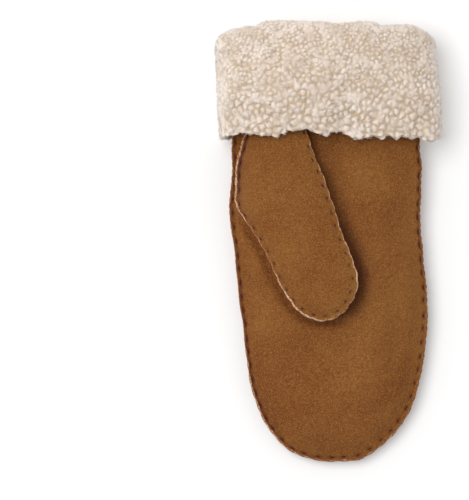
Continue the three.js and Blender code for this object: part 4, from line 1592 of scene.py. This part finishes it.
@dataclass
class Cuff:
    """The turned-back cuff: its skin, the fleece with its tufts, and the loose strands of wool on it."""

    hand: HandForm
    thumb: ThumbForm
    finishes: Finishes
    pile: float = 8.0
    clearance: float = 0.8
    flare: float = 10.0
    edge_power: float = 3.4
    turns: int = 480
    rows: int = 176
    tuft: float = 2.2
    tuft_depth: float = 0.9
    strand_mm: float = 3.0
    seed: int = 12

    def __post_init__(self) -> None:
        """Finds the turns that space points evenly, and the wool's profile."""
        turn = np.linspace(0, 2 * math.pi, 1500)
        ring = self.point(turn, np.full_like(turn, (CUFF_EDGE_Y + FOLD_Y) / 2), np.full_like(turn, self.pile))
        run = np.concatenate([[0.0], np.cumsum(np.linalg.norm(np.diff(ring, axis=0), axis=1))])
        self.even_turn = lambda share: np.interp(share * run[-1], run, turn)

    def point(self, turn: Array, y: Array, out: Array) -> Array:
        """Points of the cuff.

        Args:
            turn: Turns round the cuff, in radians from its right side.
            y: Places along it.
            out: Distances out of the wrist's outer face.

        Returns:
            The points, with a last axis of three.
        """
        flare = np.where(out < 0, 0.0, smoothstep(FOLD_Y - y, 0, 0.6 * CUFF_DEPTH))
        at = np.maximum(y, CUFF_EDGE_Y)
        left = self.hand.outline.left(at) - GAP
        right = self.hand.outline.right(at) + GAP + flare * 0.25 * self.flare
        under = self.hand.height(at, 1) - SKIN - flare * 0.16 * self.flare
        top = self.hand.height(at, 3) + SKIN + flare * 0.25 * self.flare
        power = self.hand.mouth_power + (self.edge_power - self.hand.mouth_power) * flare
        cosine, sine = np.cos(turn), np.sin(turn)
        reach = (np.abs(cosine) ** power + np.abs(sine) ** power) ** (-1 / power)
        x = (left + right) / 2 + ((right - left) / 2 + out) * reach * cosine
        root = self.thumb.outline.right(np.array(CUFF_EDGE_Y))
        over = 1 - smoothstep(x, root, root + self.thumb.spread / 2)
        rise = (top - under) / 2 + out + np.where(sine > 0, 0.75 * self.flare * flare * over, 0)
        z = np.maximum((under + top) / 2 + rise * reach * sine, 0)
        return np.stack([x, y, z], axis=-1)

    def profile(self) -> tuple[Array, int]:
        """The wool's profile as rows of a place along, a distance out and a share of the pile.

        Returns:
            The rows, and how many of them from the first show outside.
        """
        inside = -SKIN - GAP - PILE_CLEARANCE
        outside = self.clearance + SKIN + 2 * GAP
        deep = inside - INNER_PILE
        shown = np.array([
            [INNER_TURN_Y, deep, 0], [FOLD_Y - 6, deep, 0], [FOLD_Y + 0.5, deep + 0.3, 0],
            [MOUTH_Y - 2.6, -3.4, 0], [MOUTH_Y - 0.4, 1.4, 0], [MOUTH_Y - 2.0, 6.2, 0],
            [FOLD_Y + 0.5, outside, 0.9], [FOLD_Y - 12, outside, 1],
            [(FOLD_Y + CUFF_EDGE_Y) / 2, outside, 1], [CUFF_EDGE_Y + 12, outside, 1],
            [CUFF_EDGE_Y + 2, outside, 0.98], [CUFF_EDGE_Y - 1.6, outside, 0.75],
            [CUFF_EDGE_Y - 1.8, outside, 0.4], [CUFF_EDGE_Y + 0.3, outside, 0.08],
        ])
        shown = even_line(smooth_line(shown), self.rows - 1)
        hidden = even_line(np.array([
            [CUFF_EDGE_Y + 6, outside + 0.1, 0], [FOLD_Y + 0.3, outside + 0.1, 0], [FOLD_Y + 0.3, inside, 0],
            [INNER_TURN_Y + 0.5, inside, 0],
        ]), 11)
        return np.vstack([shown, hidden]), self.rows

    def wool_points(self) -> tuple[Array, Array, int]:
        """The wool's outer form.

        Returns:
            The points with turns first, their outward normals, and how many rows show.
        """
        rows, shown = self.profile()
        turn = self.even_turn(np.arange(self.turns) / self.turns)[:, None] * np.ones(len(rows))
        y = np.ones((self.turns, 1)) * rows[:, 0]
        down = np.clip((FOLD_Y - y) / (FOLD_Y - CUFF_EDGE_Y), 0, 1)
        pile = self.pile * (1 + 0.5 * np.minimum(np.cos(turn), 0) * down)
        points = self.point(turn, y, rows[:, 1] + rows[:, 2] * pile)
        outer = np.arange(len(rows)) < shown
        upper = (rows[:, 1] > 0) * outer * (points[..., 2] > 20)
        low = smoothstep(-y, -CUFF_EDGE_Y - 22, -CUFF_EDGE_Y) * upper
        high = smoothstep(y, FOLD_Y - 24, MOUTH_Y) * outer
        for share, wave in ((low, CUFF_EDGE_WAVE), (high, MOUTH_WAVE)):
            points[..., 1] += share * read_table(wave, points[..., 0], 1)
        around = np.roll(points, -1, axis=0) - np.roll(points, 1, axis=0)
        along = np.roll(points, -1, axis=1) - np.roll(points, 1, axis=1)
        normal = np.cross(around, along)
        normal /= np.maximum(np.linalg.norm(normal, axis=-1, keepdims=True), 1e-9)
        middle = points[:, shown // 2 : shown // 2 + 1].mean(axis=0)
        outer = shown * 2 // 3
        if ((points[:, outer] - middle) * normal[:, outer]).sum() < 0:
            normal = -normal
        return points, normal, shown

    def down(self, spots: Array) -> Array:
        """How far down the cuff places lie, from 0 at the mouth to 1 at the free edge."""
        return np.clip((MOUTH_Y - spots[..., 1]) / CUFF_DEPTH, 0, 1)

    def scatter(self, points: Array, normal: Array, shown: int, draw: np.random.Generator,
                count: int) -> tuple[Array, Array]:
        """Draws places on the wool's outer form at random.

        Args:
            points: The wool's outer form.
            normal: Its normals.
            shown: How many rows show.
            draw: Where the places come from.
            count: How many places to draw.

        Returns:
            The places and their normals.
        """
        i = draw.integers(0, self.turns, count)
        j = draw.uniform(0, shown - 1.001, count)
        low, part = j.astype(int), (j % 1)[:, None]
        across = draw.uniform(0, 1, count)[:, None]
        after = (i + 1) % self.turns
        blended = []
        for values in (points, normal):
            near = values[i, low] * (1 - part) + values[i, low + 1] * part
            far = values[after, low] * (1 - part) + values[after, low + 1] * part
            blended.append(near * (1 - across) + far * across)
        spots, ways = blended
        return spots, ways / np.linalg.norm(ways, axis=1, keepdims=True)

    def thin_out(self, spots: Array, space: Array) -> Array:
        """Keeps the places that lie far enough from the ones kept before them.

        Args:
            spots: The places.
            space: The least distance that each has to keep.

        Returns:
            The kept places' numbers.
        """
        cells: dict[tuple, list] = {}
        kept = []
        keys = (spots // space.max()).astype(int)
        beside = [(a, b, c) for a in (-1, 0, 1) for b in (-1, 0, 1) for c in (-1, 0, 1)]
        for n, (x, y, z) in enumerate(keys.tolist()):
            near = [m for a, b, c in beside for m in cells.get((x + a, y + b, z + c), ())]
            if near and (((spots[near] - spots[n]) ** 2).sum(axis=1) < space[n] ** 2).any():
                continue
            cells.setdefault((x, y, z), []).append(n)
            kept.append(n)
        return np.array(kept)

    def find_tufts(self, points: Array, normal: Array, shown: int) -> None:
        """Sets the middles of the tufts, which are small at the mouth and large at the free edge.

        Args:
            points: The wool's outer form.
            normal: Its normals.
            shown: How many rows show.
        """
        draw = np.random.default_rng(self.seed + 5)
        spots, _ = self.scatter(points, normal, shown, draw, 45000)
        space = self.tuft * (1 + 0.95 * self.down(spots) ** 1.4) * draw.uniform(0.75, 1.3, len(spots))
        middles = spots[self.thin_out(spots, space)]
        self.tufts = KDTree(len(middles))
        for number, middle in enumerate(middles):
            self.tufts.insert(middle, number)
        self.tufts.balance()

    def mound(self, spots: Array) -> Array:
        """How high places lie on their tuft.

        Args:
            spots: The places.

        Returns:
            The shares, from 0 in the crevice between two tufts to 1.
        """
        bent = spots + 1.1 * np.column_stack([rough(spots, 2.8, 2, shift) for shift in (1.3, 5.9, 8.2)])
        share = np.empty(len(spots))
        for number, spot in enumerate(bent):
            near, far = (found[2] for found in self.tufts.find_n(spot, 2))
            share[number] = (far - near) / (far + near)
        share = smoothstep(share, 0, 0.65)
        parted = np.clip(0.85 + 0.9 * rough(spots, 5.0, 2, 7.1), 0.3, 1)
        return 1 - (1 - share) * parted

    def brushed(self, ways: Array, spots: Array) -> Array:
        """How flat the wool lies and how much paler it is painted as painted light: 0 on the broad sides, 1 down
        the narrow ones, 0.6 at the mouth.
        """
        beside = smoothstep(np.abs(ways[:, 0]), 0.55, 0.92)
        return np.maximum(beside, 0.6 * smoothstep(spots[:, 1], FOLD_Y - 4.0, MOUTH_Y))

    def swell(self, spots: Array, ways: Array, mound: Array) -> Array:
        """How far the wool swells out or sinks at places.

        Args:
            spots: The places.
            ways: The normals there. The wool lies brushed flatter down the cuff's sides.
            mound: How high they lie on their tuft.

        Returns:
            The ways out along the normals.
        """
        broad = 0.7 * rough(spots, 15.0, 2, 2.2) + 0.4 * rough(spots, 6.0, 1, 4.4)
        deep = self.tuft_depth + 0.9 * self.down(spots) ** 1.5
        billows = 0.5 * (0.3 - np.abs(rough(spots, 3.0, 3, 3.3)))
        return broad + (deep * (mound - 0.7) + billows) * (1 - 0.6 * self.brushed(ways, spots))

    def build_fleece(self) -> tuple[Array, Array, int]:
        """Builds the fleece from a grid that closes on itself round the cuff and across it.

        Returns:
            The wool's outer form before it swells, its normals, and how many rows show.
        """
        points, normal, shown = self.wool_points()
        self.find_tufts(points, normal, shown)
        flat, ways = points.reshape(-1, 3), normal.reshape(-1, 3)
        outer = np.arange(points.shape[1]) < shown
        mound = self.mound(flat)
        swell = self.swell(flat, ways, mound).reshape(points.shape[:2])
        moved = points + normal * (swell * outer)[..., None]
        moved[..., 2] = np.maximum(moved[..., 2], 0.4)
        closed = ((0, 1), (0, 1))
        obj = grid_piece("cuff_wool", np.pad(moved, (*closed, (0, 0)), mode="wrap"), Facing.UP)
        # Painted light: the wool is painted paler down the cuff's narrow sides and at the mouth, where its
        # outline looks pale.
        pale = 0.35 * self.brushed(ways, flat)
        # The tip share follows the tufts, so their hollows take the root colour, partly as painted shade.
        for name, values in (("tip", np.clip(mound + pale, 0, 1)), ("shade", self.patches(flat) - pale)):
            add_attribute(obj, name, np.pad(values.reshape(points.shape[:2]), closed, mode="wrap"))
        close_seam(obj)
        self.face_out(obj)
        shade(obj, 80)
        dress(obj, [self.finishes.wool], "wool", "cuff_fleece")
        return points, normal, shown

    def patches(self, spots: Array) -> Array:
        """How much darker the wool is in patches, from 0 to 1."""
        return np.clip(0.45 + 0.8 * rough(spots, 11.0, 2, 6.6), 0, 1)

    def face_out(self, obj: bpy.types.Object) -> None:
        """Turns a closed ring's faces outwards."""
        only(obj)
        bpy.ops.object.mode_set(mode="EDIT")
        bpy.ops.mesh.select_all(action="SELECT")
        bpy.ops.mesh.normals_make_consistent(inside=False)
        bpy.ops.object.mode_set(mode="OBJECT")

    def build_skin(self) -> None:
        """Builds the cuff's skin, a ring that hooks over the ends of the hand's skins."""
        inner, outer = self.clearance, self.clearance + SKIN
        steps = np.linspace(CUFF_EDGE_Y, FOLD_Y - SKIN, 12)
        rows = [(y, inner) for y in steps] + [(FOLD_Y - SKIN, -SKIN), (FOLD_Y, -SKIN), (FOLD_Y, outer)]
        rows = np.array(rows + [(y, outer) for y in steps[::-1]])
        count = 120
        turn = self.even_turn(np.arange(count) / count)[:, None] * np.ones(len(rows))
        points = self.point(turn, np.ones((count, 1)) * rows[:, 0], np.ones((count, 1)) * rows[:, 1])
        low = smoothstep(-points[..., 1], -CUFF_EDGE_Y - 30, -CUFF_EDGE_Y) * (points[..., 2] > 20)
        points[..., 1] += low * (read_table(CUFF_EDGE_WAVE, points[..., 0], 1) + 2.5)
        bpy.ops.object.select_all(action="DESELECT")
        bpy.ops.mesh.primitive_torus_add(major_segments=count, minor_segments=len(rows))
        obj = bpy.context.object
        obj.name = obj.data.name = "cuff_suede"
        set_places(obj, points.reshape(-1, 3))
        add_attribute(obj, "seam", np.zeros(points.shape[:2]))
        self.face_out(obj)
        shade(obj, 50)
        dress(obj, [self.finishes.suede], "suede", "cuff_skin")

    def strand(self, kind: Curl) -> tuple[Array, Array]:
        """Shapes one strand of wool.

        Args:
            kind: Its shape.

        Returns:
            Its vertices, about 1 long, and its triangles.
        """
        bend, thickness = kind.value
        bpy.ops.object.select_all(action="DESELECT")
        across = (0, math.pi / 2, 0)
        bpy.ops.mesh.primitive_uv_sphere_add(segments=3, ring_count=5, radius=0.5, rotation=across)
        obj = bpy.context.object
        bpy.ops.object.transform_apply(location=False, rotation=True, scale=False)
        bpy.ops.object.mode_set(mode="EDIT")
        bpy.ops.mesh.select_all(action="SELECT")
        bpy.ops.transform.resize(value=(1, thickness, thickness))
        bpy.ops.object.mode_set(mode="OBJECT")
        curl = {"deform_method": "BEND", "deform_axis": "Z", "angle": math.radians(bend)}
        apply_modifier(obj, "SIMPLE_DEFORM", curl)
        places, faces = pattern_of(obj)
        return places - places.mean(axis=0), faces

    def build_strands(self, points: Array, normal: Array, shown: int) -> None:
        """Builds the loose strands on the fleece as three joined pieces.

        Args:
            points: The wool's outer form.
            normal: Its normals.
            shown: How many rows show.
        """
        draw = np.random.default_rng(self.seed)
        spots, ways = self.scatter(points, normal, shown, draw, 26000)
        patterns = [self.strand(kind) for kind in Curl]
        inside = spots[:, 1] > FOLD_Y + 2.0
        middle = (self.hand.height(spots[:, 1], 1) + self.hand.height(spots[:, 1], 3)) / 2
        groups = {
            "cuff_strands_palm_side": (~inside & (spots[:, 2] > middle), 8000),
            "cuff_strands_back_side": (~inside & (spots[:, 2] <= middle), 4500),
            "mouth_strands": (inside, 2500),
        }
        for name, (chosen, most) in groups.items():
            index = np.flatnonzero(chosen)[:most]
            self.strand_piece(name, spots[index], ways[index], patterns, draw)

    def strand_piece(self, name: str, spots: Array, ways: Array, patterns: list,
                     draw: np.random.Generator) -> None:
        """Builds the strands at some places as one piece.

        Args:
            name: The piece's name.
            spots: The places on the wool's outer form.
            ways: The normals there.
            patterns: The strands' shapes, as vertices and triangles.
            draw: Where their sizes and turns come from.
        """
        count = len(spots)
        mound = self.mound(spots)
        rise = self.swell(spots, ways, mound) + draw.uniform(-0.2, 0.45, count)
        spots = spots + ways * rise[:, None]
        sizes = self.strand_mm * draw.uniform(0.7, 1.3, count) * (1 + 0.3 * self.down(spots))
        up = ways + draw.normal(0, 0.5, (count, 3))
        up /= np.linalg.norm(up, axis=1, keepdims=True)
        side = np.cross(up, draw.normal(0, 1, (count, 3)))
        side /= np.linalg.norm(side, axis=1, keepdims=True)
        frames = np.stack([side, np.cross(up, side), up], axis=1)
        shades = np.clip(self.patches(spots) + draw.uniform(-0.3, 0.2, count), 0, 1)
        choice = draw.integers(0, len(patterns), count)
        places, faces, tones, start = [], [], [], 0
        for kind, (pattern, triangles) in enumerate(patterns):
            index = np.flatnonzero(choice == kind)
            moved = np.einsum("vk,nkc->nvc", pattern, frames[index]) * sizes[index, None, None]
            places.append((moved + spots[index, None]).reshape(-1, 3))
            steps = start + np.arange(len(index))[:, None, None] * len(pattern)
            faces.append((triangles[None] + steps).reshape(-1, 3))
            start += len(index) * len(pattern)
            tones.append(np.repeat(shades[index], len(pattern)))
        spread = np.vstack(places)
        spread[:, 2] = np.maximum(spread[:, 2], 0.05)
        obj = array_piece(name, spread, np.vstack(faces))
        add_attribute(obj, "tip", np.full(len(spread), 0.8))
        add_attribute(obj, "shade", np.concatenate(tones))
        dress(obj, [self.finishes.wool], "wool", "cuff_fleece")

    def build(self) -> None:
        """Builds the whole cuff."""
        self.build_skin()
        self.build_strands(*self.build_fleece())


@dataclass
class Studio:
    """The floor, the light and the camera that looks straight down as the photograph does."""

    mm_per_pixel: float = 0.612
    image: tuple[int, int] = (469, 500)
    origin_pixel: tuple[float, float] = (328.0, 242.0)
    camera_height: float = 2600.0
    floor_size: float = 6000.0
    floor_colour: str = "e9e9e9"
    floor_glow: float = 0.15

    def camera(self) -> None:
        """Sets the camera so that the mitten has its place in the photograph's frame."""
        data = bpy.data.cameras.new("camera")
        camera = bpy.data.objects.new("camera", data)
        bpy.context.scene.collection.objects.link(camera)
        x = (self.image[0] / 2 - self.origin_pixel[0]) * self.mm_per_pixel
        y = (self.origin_pixel[1] - self.image[1] / 2) * self.mm_per_pixel
        camera.location = (x * MM, y * MM, self.camera_height * MM)
        middle = HAND_THICKNESS
        data.sensor_fit = "VERTICAL"
        data.sensor_height = 36.0
        data.lens = 36.0 * (self.camera_height - middle) / (self.image[1] * self.mm_per_pixel)
        data.clip_end = 20.0
        bpy.context.scene.camera = camera

    def light(self) -> None:
        """Adds a soft key light from the upper left and an even fill."""
        scene = bpy.context.scene
        scene.view_settings.view_transform = "Standard"
        world = bpy.data.worlds.new("studio")
        world.use_nodes = True
        world.node_tree.nodes["Background"].inputs["Color"].default_value = (1, 1, 1, 1)
        world.node_tree.nodes["Background"].inputs["Strength"].default_value = 0.58
        scene.world = world
        data = bpy.data.lights.new("key", "AREA")
        data.shape = "DISK"
        data.size = 1.6
        data.energy = 35.0
        key = bpy.data.objects.new("key", data)
        scene.collection.objects.link(key)
        key.location = (-0.78, 0.42, 2.2)
        key.rotation_euler = (-Vector(key.location)).to_track_quat("-Z", "Y").to_euler()

    def floor(self) -> None:
        """Adds a plain pale floor just under the mitten, faintly lit from within like a light table."""
        bpy.ops.object.select_all(action="DESELECT")
        bpy.ops.mesh.primitive_plane_add(size=self.floor_size * MM, location=(0, 0, -0.1 * MM))
        floor = bpy.context.object
        floor.name = "floor"
        material, _, surface = new_material("plain_paper")
        surface.inputs["Base Color"].default_value = linear(self.floor_colour)
        surface.inputs["Roughness"].default_value = 1.0
        surface.inputs["Specular IOR Level"].default_value = 0.0
        surface.inputs["Emission Color"].default_value = (1, 1, 1, 1)
        surface.inputs["Emission Strength"].default_value = self.floor_glow
        floor.data.materials.append(material)

    def build(self) -> None:
        """Builds the studio."""
        self.camera()
        self.light()
        self.floor()


def main() -> None:
    """Builds the studio and each sub-assembly in order."""
    logging.basicConfig(level=logging.INFO, format="%(message)s")
    Studio().build()
    finishes = make_finishes()
    hand_form = HandForm()
    thumb_form = ThumbForm(hand_form)
    hand = Hand(hand_form, thumb_form, finishes)
    palm, back = hand.build_skins()
    hand.build_wool()
    front = Thumb(thumb_form, finishes).build()
    seams = Seams(finishes)
    hidden_from = CUFF_EDGE_Y + 6.0
    seams.sew("palm_stitches", palm, hidden_from)
    seams.sew("back_stitches", back, hidden_from)
    seams.sew("thumb_stitches", front, hidden_from)
    Cuff(hand_form, thumb_form, finishes).build()


if __name__ == "__main__":
    main()
